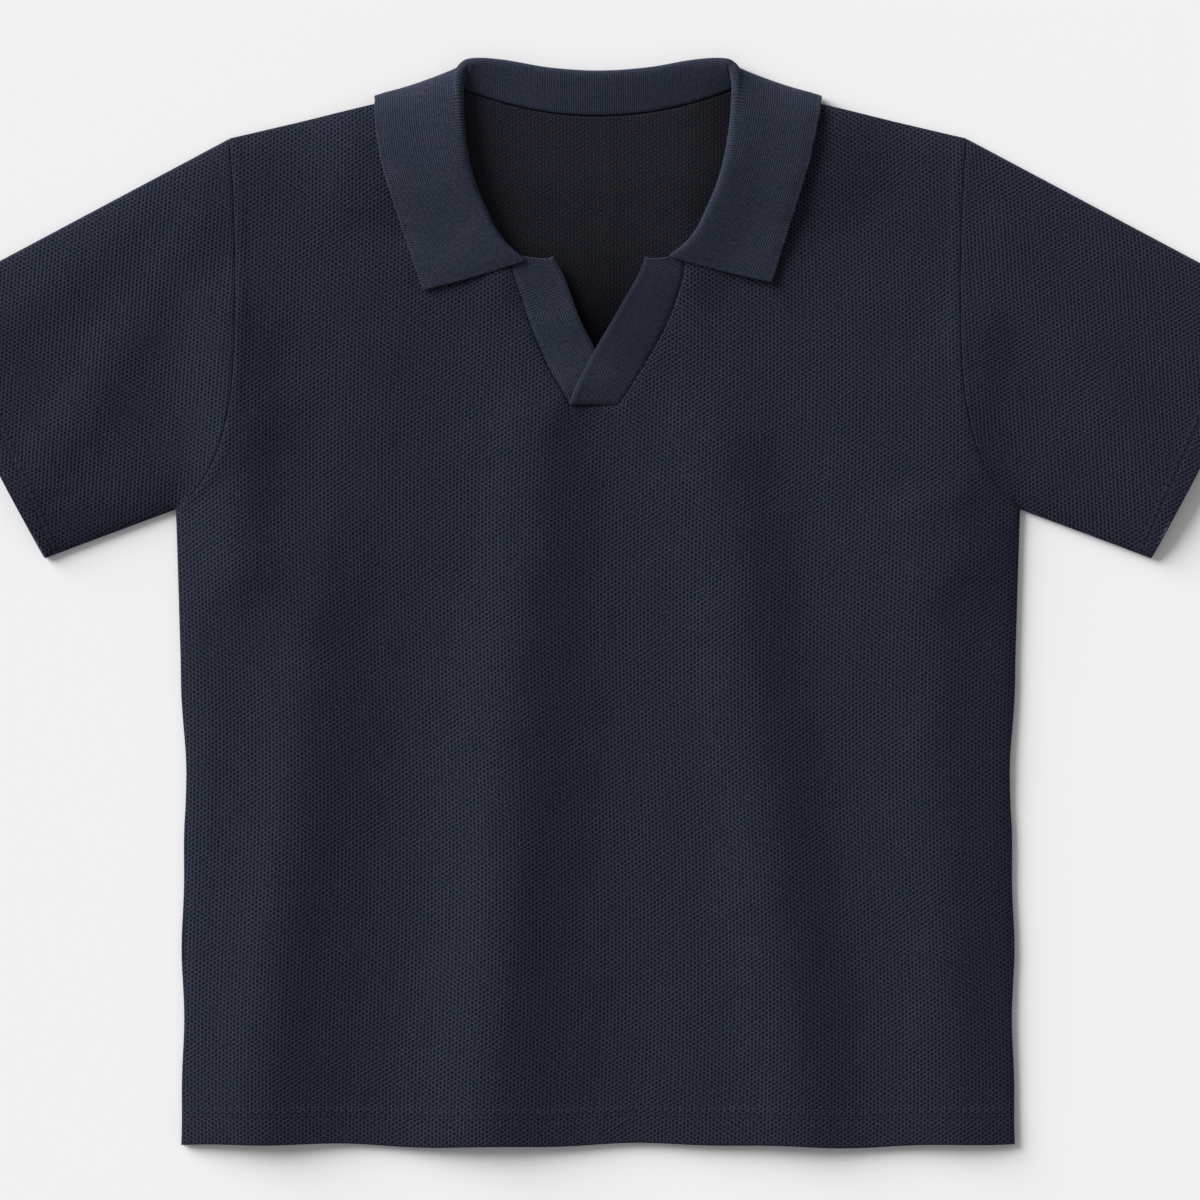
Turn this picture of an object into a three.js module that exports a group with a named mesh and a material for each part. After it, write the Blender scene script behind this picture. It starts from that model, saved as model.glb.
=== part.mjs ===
// A short-sleeved knit polo shirt with an open, buttonless V placket, laid flat and face up.
// Millimetres, +Z up, the table at z = 0. The hem points to -Y and the collar to +Y.
// While it is drawn, x = 0 is the centre front and y = 0 the high point of the shoulder.
// The last lines move the origin to the centre of the underside.

import * as THREE from "three";

// Driving dimensions of the cut
const BODY_LENGTH = 690;
const HALF_CHEST = 275;
const HALF_WAIST = 269;
const HALF_HEM = 272;
const HALF_ACROSS = 236;
const HALF_SHOULDER = 240;
const SHOULDER_DROP = 34;
const UNDERARM_Y = -275;
const HALF_NECK = 95;
const BACK_NECK_DROP = 20;
const SLIT_BOTTOM_Y = -208;
const SLEEVE_LENGTH = 235;
const SLEEVE_ANGLE = THREE.MathUtils.degToRad(28);
const CUFF_WIDTH = 185;

// Cloth
const PIQUE = 1.6;
const RIB = 2.2;
const BAND = 2.4;
const SEAM_GAP = 0.3;
const SLOPED_GAP = 0.36; // a seam gap measured sideways, where the seam slopes
const TABLE_CLEAR = 0.1; // the tucked leaf lies this far over the table

// How the laid cloth lies: air between its layers, and the rise over the tucked collar
const AIR = 4.5;
const AIR_EDGE = 12;
const FOLD_EDGE = 38;
const TUCK_RISE = 3.8;
const TUCK = { halfWidth: 152, y: -54, fade: 46 };
const HEM_SETTLE = { share: 0.45, reach: 70 };

// How finely each piece is divided
const STEPS = { side: 10, slit: 2, neck: 8, backNeck: 8, frontRows: 19, underarm: 4, backRows: 7 };
const ARMHOLE_STEPS = 60;
const SLEEVE_STEPS = { along: 9, across: 9 };
const COLLAR_STEPS = { perSection: 2, perSpan: 2 };
const BAND_STEPS = { across: 3 };

// Soft ridges and hollows of the front. Each runs from x0,y0 to x1,y1, and its half width and height
// change along it.
const RIDGES = [
  { name: "left chest", x0: -182, y0: -300, x1: -226, y1: -690, w0: 26, w1: 30, h0: 2.5, h1: 9.0 },
  { name: "left chest hollow", x0: -122, y0: -330, x1: -144, y1: -700, w0: 28, w1: 30, h0: -1.0, h1: -3.2 },
  { name: "centre", x0: -42, y0: -222, x1: -72, y1: -690, w0: 32, w1: 32, h0: 4.0, h1: 8.5 },
  { name: "centre hollow", x0: 4, y0: -238, x1: 24, y1: -700, w0: 28, w1: 36, h0: -1.4, h1: -2.8 },
  { name: "right chest", x0: 78, y0: -237, x1: 134, y1: -690, w0: 28, w1: 32, h0: 3.2, h1: 6.4 },
  { name: "right chest hollow", x0: 126, y0: -237, x1: 176, y1: -680, w0: 22, w1: 28, h0: -1.2, h1: -2.0 },
  { name: "right side", x0: 212, y0: -290, x1: 238, y1: -700, w0: 24, w1: 28, h0: 2.5, h1: 5.5 },
  { name: "left armhole", x0: -242, y0: -150, x1: -236, y1: -310, w0: 26, w1: 28, h0: 5.0, h1: 8.5 },
  { name: "right armhole", x0: 240, y0: -160, x1: 236, y1: -310, w0: 26, w1: 26, h0: 3.0, h1: 4.0 },
  { name: "left upper chest", x0: -168, y0: -150, x1: -156, y1: -300, w0: 40, w1: 40, h0: 1.5, h1: 1.5 },
  { name: "right upper chest", x0: 190, y0: -150, x1: 200, y1: -300, w0: 42, w1: 40, h0: 2.0, h1: 2.0 },
  { name: "left underarm high", x0: -250, y0: -246, x1: -196, y1: -206, w0: 12, w1: 18, h0: 1.2, h1: 1.0 },
  { name: "left underarm low", x0: -252, y0: -296, x1: -190, y1: -344, w0: 14, w1: 22, h0: 1.6, h1: 1.0 },
  { name: "right underarm high", x0: 250, y0: -248, x1: 204, y1: -200, w0: 12, w1: 18, h0: 1.4, h1: 1.5 },
  { name: "right underarm low", x0: 252, y0: -300, x1: 204, y1: -352, w0: 14, w1: 22, h0: 1.6, h1: 1.0 },
  { name: "left neck", x0: -62, y0: -122, x1: -100, y1: -34, w0: 20, w1: 24, h0: 3.0, h1: 3.5 },
  { name: "right neck", x0: 62, y0: -122, x1: 100, y1: -34, w0: 20, w1: 24, h0: 3.0, h1: 3.5 },
  { name: "left sleeve", x0: -262, y0: -92, x1: -372, y1: -268, w0: 16, w1: 22, h0: 1.5, h1: 3.0 },
  { name: "left sleeve outer", x0: -300, y0: -84, x1: -430, y1: -190, w0: 14, w1: 20, h0: 1.0, h1: 2.5 },
  { name: "right sleeve", x0: 262, y0: -96, x1: 366, y1: -262, w0: 16, w1: 22, h0: 1.5, h1: 3.0 },
  { name: "right sleeve outer", x0: 304, y0: -80, x1: 424, y1: -196, w0: 14, w1: 20, h0: 1.0, h1: 2.5 },
];

// The armhole seam from the underarm to the shoulder point
const ARMHOLE = [
  { x: HALF_CHEST, y: UNDERARM_Y },
  { x: 260, y: -261 },
  { x: 248, y: -240 },
  { x: 239.5, y: SLIT_BOTTOM_Y },
  { x: HALF_ACROSS, y: -165 },
  { x: HALF_ACROSS, y: -110 },
  { x: 237.5, y: -65 },
  { x: HALF_SHOULDER, y: -SHOULDER_DROP },
];

// The front neck edge from the top of the slit to the high point of the shoulder
const NECK_EDGE = [
  { x: 57, y: -113 },
  { x: 67, y: -109.5 },
  { x: 77, y: -101 },
  { x: 85.5, y: -87 },
  { x: 91.5, y: -70 },
  { x: 95.5, y: -50 },
  { x: 97.3, y: -30 },
  { x: 97, y: -12 },
  { x: HALF_NECK, y: 0 },
];

// The placket bands, from the neck down to the foot of the slit: seam and free edge of each band
const BAND_LEVELS = [
  { y: -112.5, leftSeam: -56.8, leftEdge: -29.0, rightEdge: 30.4, rightSeam: 56.0 },
  { y: -122.0, leftSeam: -55.4, leftEdge: -23.0, rightEdge: 26.6, rightSeam: 55.8 },
  { y: -137.8, leftSeam: -50.0, leftEdge: -17.0, rightEdge: 17.8, rightSeam: 51.4 },
  { y: -152.8, leftSeam: -45.1, leftEdge: -11.3, rightEdge: 9.2, rightSeam: 45.8 },
  { y: -167.7, leftSeam: -39.7, leftEdge: -3.6, rightEdge: 0.4, rightSeam: 38.2 },
  { y: -182.7, leftSeam: -33.2, leftEdge: 3.7, rightEdge: -7.8, rightSeam: 29.6 },
  { y: -197.3, leftSeam: -24.7, leftEdge: 9.4, rightEdge: -15.1, rightSeam: 20.5 },
  { y: -207.6, leftSeam: -19.3, leftEdge: 12.6, rightEdge: -19.0, rightSeam: 13.2 },
];
// Where the bands come to lap each other, and how far they are bent up and down there
const BAND_LAP = { top: -150, full: -176, over: 1.5, under: 1.5, atSeam: 0.35, proud: 0.3, sunk: 0.9 };

// Rows from the foot of the slit to the shoulder: one for each band level, then those of the neck edge
const YOKE_STEPS = BAND_LEVELS.length - 1 + STEPS.neck;

// Small curve tools
const lerp = THREE.MathUtils.lerp;
const smooth = THREE.MathUtils.smoothstep;

function distanceToSegment(x, y, ax, ay, bx, by) {
  const dx = bx - ax;
  const dy = by - ay;
  const t = THREE.MathUtils.clamp(((x - ax) * dx + (y - ay) * dy) / (dx * dx + dy * dy), 0, 1);
  return { t, r: Math.hypot(x - ax - t * dx, y - ay - t * dy) };
}

function pointAlong(points, share) {
  const lengths = points.slice(1).map((p, i) => Math.hypot(p.x - points[i].x, p.y - points[i].y));
  let left = share * lengths.reduce((a, b) => a + b, 0);
  for (let i = 0; i < lengths.length; i++) {
    if (left <= lengths[i] + 1e-9) {
      const t = left / lengths[i];
      return { x: lerp(points[i].x, points[i + 1].x, t), y: lerp(points[i].y, points[i + 1].y, t) };
    }
    left -= lengths[i];
  }
  return points[points.length - 1];
}

function rounded(points, count) {
  const curve = new THREE.CatmullRomCurve3(points.map((p) => new THREE.Vector3(p.x, p.y, 0)));
  return curve.getSpacedPoints(count).map((v) => ({ x: v.x, y: v.y }));
}

function atLevel(rows, y, column) {
  const down = rows[0].y > rows[rows.length - 1].y ? rows : [...rows].reverse();
  for (let i = 1; i < down.length; i++) {
    if (y >= down[i].y) {
      const t = THREE.MathUtils.clamp((down[i - 1].y - y) / (down[i - 1].y - down[i].y), 0, 1);
      return lerp(down[i - 1][column], down[i][column], t);
    }
  }
  return down[down.length - 1][column];
}

// Sleeve corners, worked out from the shoulder point
const SHOULDER = { x: HALF_SHOULDER, y: -SHOULDER_DROP };
const UNDERARM = { x: HALF_CHEST, y: UNDERARM_Y };
const CUFF_TOP = {
  x: SHOULDER.x + SLEEVE_LENGTH * Math.cos(SLEEVE_ANGLE),
  y: SHOULDER.y - SLEEVE_LENGTH * Math.sin(SLEEVE_ANGLE),
};
const CUFF_LOW = {
  x: CUFF_TOP.x - CUFF_WIDTH * Math.sin(SLEEVE_ANGLE),
  y: CUFF_TOP.y - CUFF_WIDTH * Math.cos(SLEEVE_ANGLE),
};

const SIDE = [
  { x: HALF_HEM, y: -BODY_LENGTH },
  { x: HALF_WAIST, y: -470 },
  { x: HALF_CHEST, y: UNDERARM_Y },
];

// Edges where the upper and lower layers are joined: sides, sleeve seams, sleeve folds and shoulders
const JOINED = [
  [SIDE[0], SIDE[1]],
  [SIDE[1], SIDE[2]],
  [UNDERARM, CUFF_LOW],
  [CUFF_TOP, SHOULDER],
  [SHOULDER, { x: HALF_NECK, y: 0 }],
];

// Heights of the two layers over the table
function distanceToJoined(x, y) {
  const ax = Math.abs(x);
  return Math.min(...JOINED.map(([a, b]) => distanceToSegment(ax, y, a.x, a.y, b.x, b.y).r));
}

function ridgeHeight(x, y) {
  return RIDGES.reduce((sum, f) => {
    const { t, r } = distanceToSegment(x, y, f.x0, f.y0, f.x1, f.y1);
    return sum + lerp(f.h0, f.h1, t) * Math.exp(-((r / lerp(f.w0, f.w1, t)) ** 2));
  }, 0);
}

function lowerBottom(x, y) {
  const across = 1 - smooth(Math.abs(x), TUCK.halfWidth, TUCK.halfWidth + TUCK.fade);
  return TUCK_RISE * across * smooth(y, TUCK.y - TUCK.fade, TUCK.y);
}

function airBetween(x, y) {
  const d = distanceToJoined(x, y);
  const open = AIR * (1 - Math.exp(-d / AIR_EDGE)) + ridgeHeight(x, y) * (1 - Math.exp(-d / FOLD_EDGE));
  const hem = Math.exp(-Math.max(0, y + BODY_LENGTH) / HEM_SETTLE.reach);
  return open * (1 - HEM_SETTLE.share * hem);
}

const lowerTop = (x, y) => lowerBottom(x, y) + PIQUE;
const upperBottom = (x, y) => lowerTop(x, y) + SEAM_GAP + airBetween(x, y);
const upperTop = (x, y) => upperBottom(x, y) + PIQUE;

// A closed wall from matching outer and inner points, with its free edges closed by side faces
function wall(outer, inner, quads) {
  const points = [...outer, ...inner];
  const shift = outer.length;
  const faces = [];
  const uses = new Map();
  for (const [a, b, c, d] of quads) {
    faces.push([a, b, c], [a, c, d]);
    faces.push([c + shift, b + shift, a + shift], [d + shift, c + shift, a + shift]);
    for (const [p, q] of [[a, b], [b, c], [c, d], [d, a]]) uses.set(`${p},${q}`, [p, q]);
  }
  for (const [p, q] of uses.values()) {
    if (!uses.has(`${q},${p}`)) faces.push([q, p, p + shift], [q, p + shift, q + shift]);
  }
  const geometry = new THREE.BufferGeometry();
  geometry.setAttribute("position", new THREE.Float32BufferAttribute(points.flat(), 3));
  geometry.setIndex(faces.flat());
  geometry.computeVertexNormals();
  return geometry;
}

// A panel from plan points, lying between two height functions
function panel(plan, quads, bottom, top) {
  return wall(
    plan.map(([x, y]) => [x, y, top(x, y)]),
    plan.map(([x, y]) => [x, y, bottom(x, y)]),
    quads,
  );
}

// Plan points by row and column, and the quads between neighbouring rows that share columns
function planGrid(rows) {
  const plan = [];
  const index = rows.map((row) =>
    row.map((p) => {
      if (!p) return -1;
      plan.push([p.x, p.y]);
      return plan.length - 1;
    }),
  );
  const quads = [];
  for (let j = 0; j + 1 < rows.length; j++) {
    for (let i = 0; i + 1 < rows[j].length; i++) {
      const quad = [index[j][i], index[j][i + 1], index[j + 1][i + 1], index[j + 1][i]];
      if (quad.every((k) => k >= 0)) quads.push(quad);
    }
  }
  return { plan, quads };
}

function between(a, b, count) {
  return Array.from({ length: count + 1 }, (_, i) => ({
    x: lerp(a.x, b.x, i / count),
    y: lerp(a.y, b.y, i / count),
  }));
}

const mirrored = (p) => ({ x: -p.x, y: p.y });

// Armhole points by row: below the foot of the slit by level, above it by length
const ARMHOLE_CURVE = rounded(ARMHOLE, ARMHOLE_STEPS);
const ARMHOLE_UPPER = ARMHOLE_CURVE.filter((p) => p.y > SLIT_BOTTOM_Y);
const FOOT_OUTER = { x: atLevel(ARMHOLE_CURVE, SLIT_BOTTOM_Y, "x"), y: SLIT_BOTTOM_Y };
const YOKE_OUTER = Array.from({ length: YOKE_STEPS + 1 }, (_, j) =>
  pointAlong([FOOT_OUTER, ...ARMHOLE_UPPER], j / YOKE_STEPS),
);
const UNDERARM_ROWS = between(UNDERARM, FOOT_OUTER, STEPS.underarm)
  .slice(0, -1)
  .map((p) => ({ x: atLevel(ARMHOLE_CURVE, p.y, "x"), y: p.y }));

function sideRows(count) {
  return between(SIDE[0], UNDERARM, count)
    .slice(0, -1)
    .map((p) => ({ x: atLevel(SIDE, p.y, "x"), y: p.y }));
}

// Front panel, with the neck and the slit that the placket bands fill
function makeFront() {
  const slitEdge = (column, side) =>
    [...BAND_LEVELS].reverse().map((b) => ({ x: b[column] + side * SLOPED_GAP, y: b.y }));
  const neck = rounded(NECK_EDGE, STEPS.neck).slice(1);
  const innerLeft = [...slitEdge("leftSeam", -1), ...neck.map(mirrored)];
  const innerRight = [...slitEdge("rightSeam", 1), ...neck];
  const rows = [...sideRows(STEPS.frontRows), ...UNDERARM_ROWS].map((outer) => {
    const l = { x: innerLeft[0].x, y: outer.y };
    const r = { x: innerRight[0].x, y: outer.y };
    const middle = between(l, r, STEPS.slit).slice(1, -1);
    return [...between(mirrored(outer), l, STEPS.side), ...middle, ...between(r, outer, STEPS.side)];
  });
  YOKE_OUTER.forEach((outer, j) => {
    const foot = j === 0;
    const l = foot ? { x: innerLeft[0].x, y: SLIT_BOTTOM_Y } : innerLeft[j];
    const r = foot ? { x: innerRight[0].x, y: SLIT_BOTTOM_Y } : innerRight[j];
    const middle = foot ? between(l, r, STEPS.slit).slice(1, -1) : Array(STEPS.slit - 1).fill(null);
    rows.push([...between(mirrored(outer), l, STEPS.side), ...middle, ...between(r, outer, STEPS.side)]);
  });
  const { plan, quads } = planGrid(rows);
  return panel(plan, quads, upperBottom, upperTop);
}

// Back panel, flat on the table but for the rise over the tucked collar
function makeBack() {
  const outers = [...sideRows(STEPS.backRows), ...UNDERARM_ROWS, ...YOKE_OUTER];
  const firstYoke = outers.length - YOKE_OUTER.length;
  const rows = outers.map((outer, j) => {
    const share = Math.max(0, j - firstYoke) / YOKE_STEPS;
    const y = j < firstYoke ? outer.y : lerp(SLIT_BOTTOM_Y, 0, share);
    const l = { x: -HALF_NECK, y };
    const dipped = (p) => ({ x: p.x, y: p.y - BACK_NECK_DROP * share * (1 - (p.x / HALF_NECK) ** 2) });
    const middle = between(l, mirrored(l), STEPS.backNeck).map(dipped).slice(1, -1);
    const right = between(mirrored(l), outer, STEPS.side);
    return [...between(mirrored(outer), l, STEPS.side), ...middle, ...right];
  });
  const { plan, quads } = planGrid(rows);
  return panel(plan, quads, lowerBottom, lowerTop);
}

// The armhole point moved out by the gap of the seam
function besideSeam(head, i) {
  const a = head[Math.max(i - 1, 0)];
  const b = head[Math.min(i + 1, head.length - 1)];
  const length = Math.hypot(b.x - a.x, b.y - a.y);
  const move = SLOPED_GAP / length;
  return { x: head[i].x + (b.y - a.y) * move, y: head[i].y - (b.x - a.x) * move };
}

// A sleeve is a flattened tube: its rings run round the upper layer, the fold, the lower layer and the seam
function makeSleeve(side) {
  const head = [...UNDERARM_ROWS, ...YOKE_OUTER];
  const lengths = Array.from({ length: SLEEVE_STEPS.along + 1 }, (_, i) => i / SLEEVE_STEPS.along);
  const outer = [];
  const inner = [];
  for (const s of lengths) {
    const line = head.map((p, i) => {
      const w = i / (head.length - 1);
      const cuff = { x: lerp(CUFF_LOW.x, CUFF_TOP.x, w), y: lerp(CUFF_LOW.y, CUFF_TOP.y, w) };
      const seam = besideSeam(head, i);
      return { x: lerp(seam.x, cuff.x, s), y: lerp(seam.y, cuff.y, s) };
    });
    const last = line.length - 1;
    const inset = line.map((p, i) => {
      if (i !== 0 && i !== last) return p;
      const q = line[i === 0 ? 1 : last - 1];
      const d = Math.hypot(q.x - p.x, q.y - p.y);
      return { x: lerp(p.x, q.x, PIQUE / d), y: lerp(p.y, q.y, PIQUE / d) };
    });
    line.forEach((p) => outer.push([side * p.x, p.y, upperTop(p.x * side, p.y)]));
    [...line].reverse().forEach((p) => outer.push([side * p.x, p.y, 0]));
    inset.forEach((p, i) => inner.push([side * p.x, p.y, upperBottom(line[i].x * side, line[i].y)]));
    [...inset].reverse().forEach((p) => inner.push([side * p.x, p.y, PIQUE]));
  }
  const ring = 2 * head.length;
  const quads = [];
  for (let s = 0; s < SLEEVE_STEPS.along; s++) {
    for (let i = 0; i < ring; i++) {
      const a = s * ring + i;
      const b = s * ring + ((i + 1) % ring);
      const quad = [b, a, a + ring, b + ring];
      quads.push(side > 0 ? quad : quad.reverse());
    }
  }
  return wall(outer, inner, quads);
}

// A placket band, from its seam to its free edge, lapped over (1) or under (-1) the other near the foot
function makeBand(seam, edge, lap) {
  const across = (b) => between({ x: b[seam], y: b.y }, { x: b[edge], y: b.y }, BAND_STEPS.across);
  const rows = BAND_LEVELS.map(across).map((row) => (seam === "rightSeam" ? row.reverse() : row));
  const { plan, quads } = planGrid(rows.reverse());
  const lift = (x, y) => {
    const lapped = smooth(-y, -BAND_LAP.top, -BAND_LAP.full);
    const from = atLevel(BAND_LEVELS, y, seam);
    const to = atLevel(BAND_LEVELS, y, edge);
    const away = THREE.MathUtils.clamp((x - from) / (to - from), 0, 1);
    const bend = lapped * lerp(BAND_LAP.atSeam, 1, away);
    return lap > 0 ? BAND_LAP.proud + BAND_LAP.over * bend : -BAND_LAP.under * bend - BAND_LAP.sunk * lapped;
  };
  const bottom = (x, y) => upperBottom(x, y) - (BAND - PIQUE) / 2 + lift(x, y);
  const top = (x, y) => bottom(x, y) + BAND;
  return panel(plan, quads, bottom, top);
}

// Collar sections from the free end at the placket to the centre back, for the side with x > 0.
// Each has the neck seam, the roll's edge, the middle of the leaf and the leaf's outer edge.
// lean is how far the leaf has turned from lying over the front (0) to lying under the back (180).
const over = (x, y, clear) => [x, y, upperTop(x, y) + RIB / 2 + clear];
const atFront = (x, y) => [x, y, upperTop(x, y) - PIQUE / 2];
const COLLAR = [
  { lean: 0, roll: 2.0, seam: atFront(49.8, -110.2), fold: [49.2, -109.7, 12.6],
    mid: over(81, -121.0, 1.4), edge: over(113.0, -130.6, 1.0) },
  { lean: 0, roll: 2.2, seam: atFront(62.3, -108.4), fold: [57.5, -104.5, 13.2],
    mid: over(88, -111.5, 1.8), edge: over(117.2, -117.5, 1.4) },
  { lean: 0, roll: 2.4, seam: atFront(73.4, -101.0), fold: [65.2, -94.5, 13.6],
    mid: over(94.5, -99.5, 2.2), edge: over(121.4, -103.8, 1.6) },
  { lean: 0, roll: 2.6, seam: atFront(83.2, -88.3), fold: [71.6, -80.5, 14.0],
    mid: over(99.6, -84.0, 2.2), edge: over(126.6, -87.0, 1.8) },
  { lean: 0, roll: 2.8, seam: atFront(89.9, -71.1), fold: [77.6, -66.0, 14.8],
    mid: over(104.8, -67.5, 2.0), edge: over(132.0, -69.5, 1.8) },
  { lean: 0, roll: 3.0, seam: atFront(94.2, -50.8), fold: [82.4, -49.0, 15.2],
    mid: over(110.2, -50.0, 2.0), edge: over(137.4, -51.0, 1.8) },
  { lean: 8, roll: 3.0, seam: atFront(96.0, -31.0), fold: [85.6, -31.0, 14.8],
    mid: over(114.0, -32.5, 2.2), edge: over(141.0, -34.0, 1.8) },
  { lean: 25, roll: 3.0, seam: atFront(95.7, -15.0), fold: [87.6, -14.0, 14.0],
    mid: over(116.2, -18.0, 2.4), edge: over(143.6, -22.0, 1.8) },
  { lean: 50, roll: 3.0, seam: atFront(95.0, -6.8), fold: [88.8, 0.0, 13.2],
    mid: over(117.4, -8.6, 2.0), edge: over(144.8, -14.8, 1.6) },
  { lean: 80, roll: 3.2, seam: [92.8, 1.4, 6.6], fold: [88.8, 9.0, 12.4],
    mid: [117.8, -0.6, 6.0], edge: [145.6, -7.2, 5.4] },
  { lean: 105, roll: 3.2, seam: [91.2, 0.6, 5.8], fold: [88.0, 12.6, 11.0],
    mid: [117.6, 1.0, 1.6], edge: [145.4, -7.6, 1.4] },
  { lean: 136, roll: 3.2, seam: [88.4, -1.0, 5.2], fold: [86.0, 15.6, 9.0],
    mid: [115.0, -9.0, 1.2], edge: [143.6, -16.4, 1.2] },
  { lean: 158, roll: 3.0, seam: [80.5, -4.3, 4.7], fold: [79.0, 17.0, 7.2],
    mid: [107.0, -18.0, 1.2], edge: [133.0, -28.0, 1.2] },
  { lean: 170, roll: 2.9, seam: [62.0, -10.4, 4.6], fold: [62.0, 16.0, 5.8],
    mid: [82.0, -18.0, 1.2], edge: [100.0, -42.0, 1.2] },
  { lean: 180, roll: 2.8, seam: [32.0, -16.8, 4.6], fold: [32.0, 11.0, 5.4],
    mid: [36.0, -20.0, 1.2], edge: [46.0, -48.0, 1.2] },
  { lean: 180, roll: 2.8, seam: [0.0, -19.0, 4.6], fold: [0.0, 9.0, 5.2],
    mid: [0.0, -21.0, 1.2], edge: [0.0, -49.5, 1.2] },
];
// The two halves differ a little in the photo: the left tip lies lower and the left leaf wider.
// Both differences fade out over this many sections from the free end.
const TIP = { drop: 2.6, sections: 6 };
const LEFT_SPREAD = { share: 0.028, full: 4, none: 9 };
// In front the right leaf's outer edge stands a little off the body and the left one's lies closer
const EDGE_RAISED = { right: 1.0, left: -0.4, full: 6, none: 9 };

// One collar section as six points: seam, stand, roll edge, leaf by the roll, leaf middle, leaf edge
function sectionPoints(index, side) {
  const c = COLLAR[index];
  const next = COLLAR[Math.min(index + 1, COLLAR.length - 1)];
  const before = COLLAR[Math.max(index - 1, 0)];
  const fold = new THREE.Vector3(...c.fold);
  const run = new THREE.Vector3(...next.fold).sub(new THREE.Vector3(...before.fold)).normalize();
  if (index === COLLAR.length - 1) run.set(-1, 0, 0);
  const lean = THREE.MathUtils.degToRad(c.lean);
  const leafSide = new THREE.Vector3(Math.sin(lean), 0, Math.cos(lean));
  const apex = new THREE.Vector3().crossVectors(leafSide, run).normalize();
  leafSide.crossVectors(run, apex).normalize();
  const centre = fold.clone().addScaledVector(apex, -c.roll);
  const stand = centre.clone().addScaledVector(leafSide, -c.roll);
  const leaf = centre.clone().addScaledVector(leafSide, c.roll);
  const drop = TIP.drop * Math.max(0, 1 - index / TIP.sections) * side;
  const wider = side > 0 ? 0 : LEFT_SPREAD.share * (1 - smooth(index, LEFT_SPREAD.full, LEFT_SPREAD.none));
  const raised = side > 0 ? EDGE_RAISED.right : EDGE_RAISED.left;
  const lift = raised * (1 - smooth(index, EDGE_RAISED.full, EDGE_RAISED.none));
  const placed = [c.seam, stand.toArray(), c.fold, leaf.toArray(), c.mid, c.edge];
  return placed.map(([x, y, z], k) => {
    const onLeaf = Math.max(0, k - 3) / 2;
    const height = z + (k === placed.length - 1 ? lift : 0);
    return new THREE.Vector3(side * x * (k === 0 ? 1 : 1 + wider), y + drop * onLeaf, height);
  });
}

function makeCollar() {
  const rightSide = COLLAR.map((_, i) => sectionPoints(i, 1));
  const leftSide = COLLAR.map((_, i) => sectionPoints(i, -1)).slice(0, -1);
  const sections = [...leftSide, ...rightSide.reverse()];
  const count = (sections.length - 1) * COLLAR_STEPS.perSection;
  const spline = (points) => new THREE.CatmullRomCurve3(points, false, "centripetal");
  const rails = sections[0].map((_, k) => spline(sections.map((section) => section[k])));
  const spans = (sections[0].length - 1) * COLLAR_STEPS.perSpan;
  const middle = [];
  for (let i = 0; i <= count; i++) {
    const across = spline(rails.map((rail) => rail.getPoint(i / count)));
    for (let k = 0; k <= spans; k++) {
      const point = across.getPoint(k / spans);
      point.z = Math.max(point.z, RIB / 2 + TABLE_CLEAR);
      middle.push(point);
    }
  }
  return shell(middle, count, spans, RIB);
}

// A wall of even thickness about a grid of middle points
function shell(middle, rows, columns, thickness) {
  const wide = columns + 1;
  const at = (i, k) => middle[Math.min(Math.max(i, 0), rows) * wide + Math.min(Math.max(k, 0), columns)];
  const outer = [];
  const inner = [];
  for (let i = 0; i <= rows; i++) {
    for (let k = 0; k <= columns; k++) {
      const along = new THREE.Vector3().subVectors(at(i + 1, k), at(i - 1, k));
      const across = new THREE.Vector3().subVectors(at(i, k + 1), at(i, k - 1));
      const normal = along.cross(across).normalize().multiplyScalar(thickness / 2);
      outer.push(at(i, k).clone().add(normal).toArray());
      inner.push(at(i, k).clone().sub(normal).toArray());
    }
  }
  const quads = [];
  for (let i = 0; i < rows; i++) {
    for (let k = 0; k < columns; k++) {
      const a = i * wide + k;
      quads.push([a, a + wide, a + wide + 1, a + 1]);
    }
  }
  return wall(outer, inner, quads);
}

// Finish: washed navy cotton, the rib a shade lighter than the pique
const pique = new THREE.MeshStandardMaterial({ color: 0x232733, roughness: 0.95, metalness: 0 });
const rib = new THREE.MeshStandardMaterial({ color: 0x2a303f, roughness: 0.93, metalness: 0 });

const shirt = new THREE.Group();
function place(name, geometry, material) {
  const mesh = new THREE.Mesh(geometry, material);
  mesh.name = name;
  shirt.add(mesh);
}

place("body_front", makeFront(), pique);
place("body_back", makeBack(), pique);
place("sleeve_left", makeSleeve(-1), pique);
place("sleeve_right", makeSleeve(1), pique);
place("collar", makeCollar(), rib);
place("placket_left", makeBand("leftSeam", "leftEdge", -1), rib);
place("placket_right", makeBand("rightSeam", "rightEdge", 1), rib);

// Move the origin to the centre of the underside
const box = new THREE.Box3().setFromObject(shirt);
shirt.position.set(-(box.min.x + box.max.x) / 2, -(box.min.y + box.max.y) / 2, -box.min.z);

export default shirt;
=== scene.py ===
# A navy knit polo shirt with an open V placket, laid flat and face up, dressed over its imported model.
# Cloth is drawn in millimetres with x = 0 at the centre front and y = 0 at the high point of the
# shoulder, as the garment was cut, and moved into the frame's metres when a mesh is made.

import math

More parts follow.
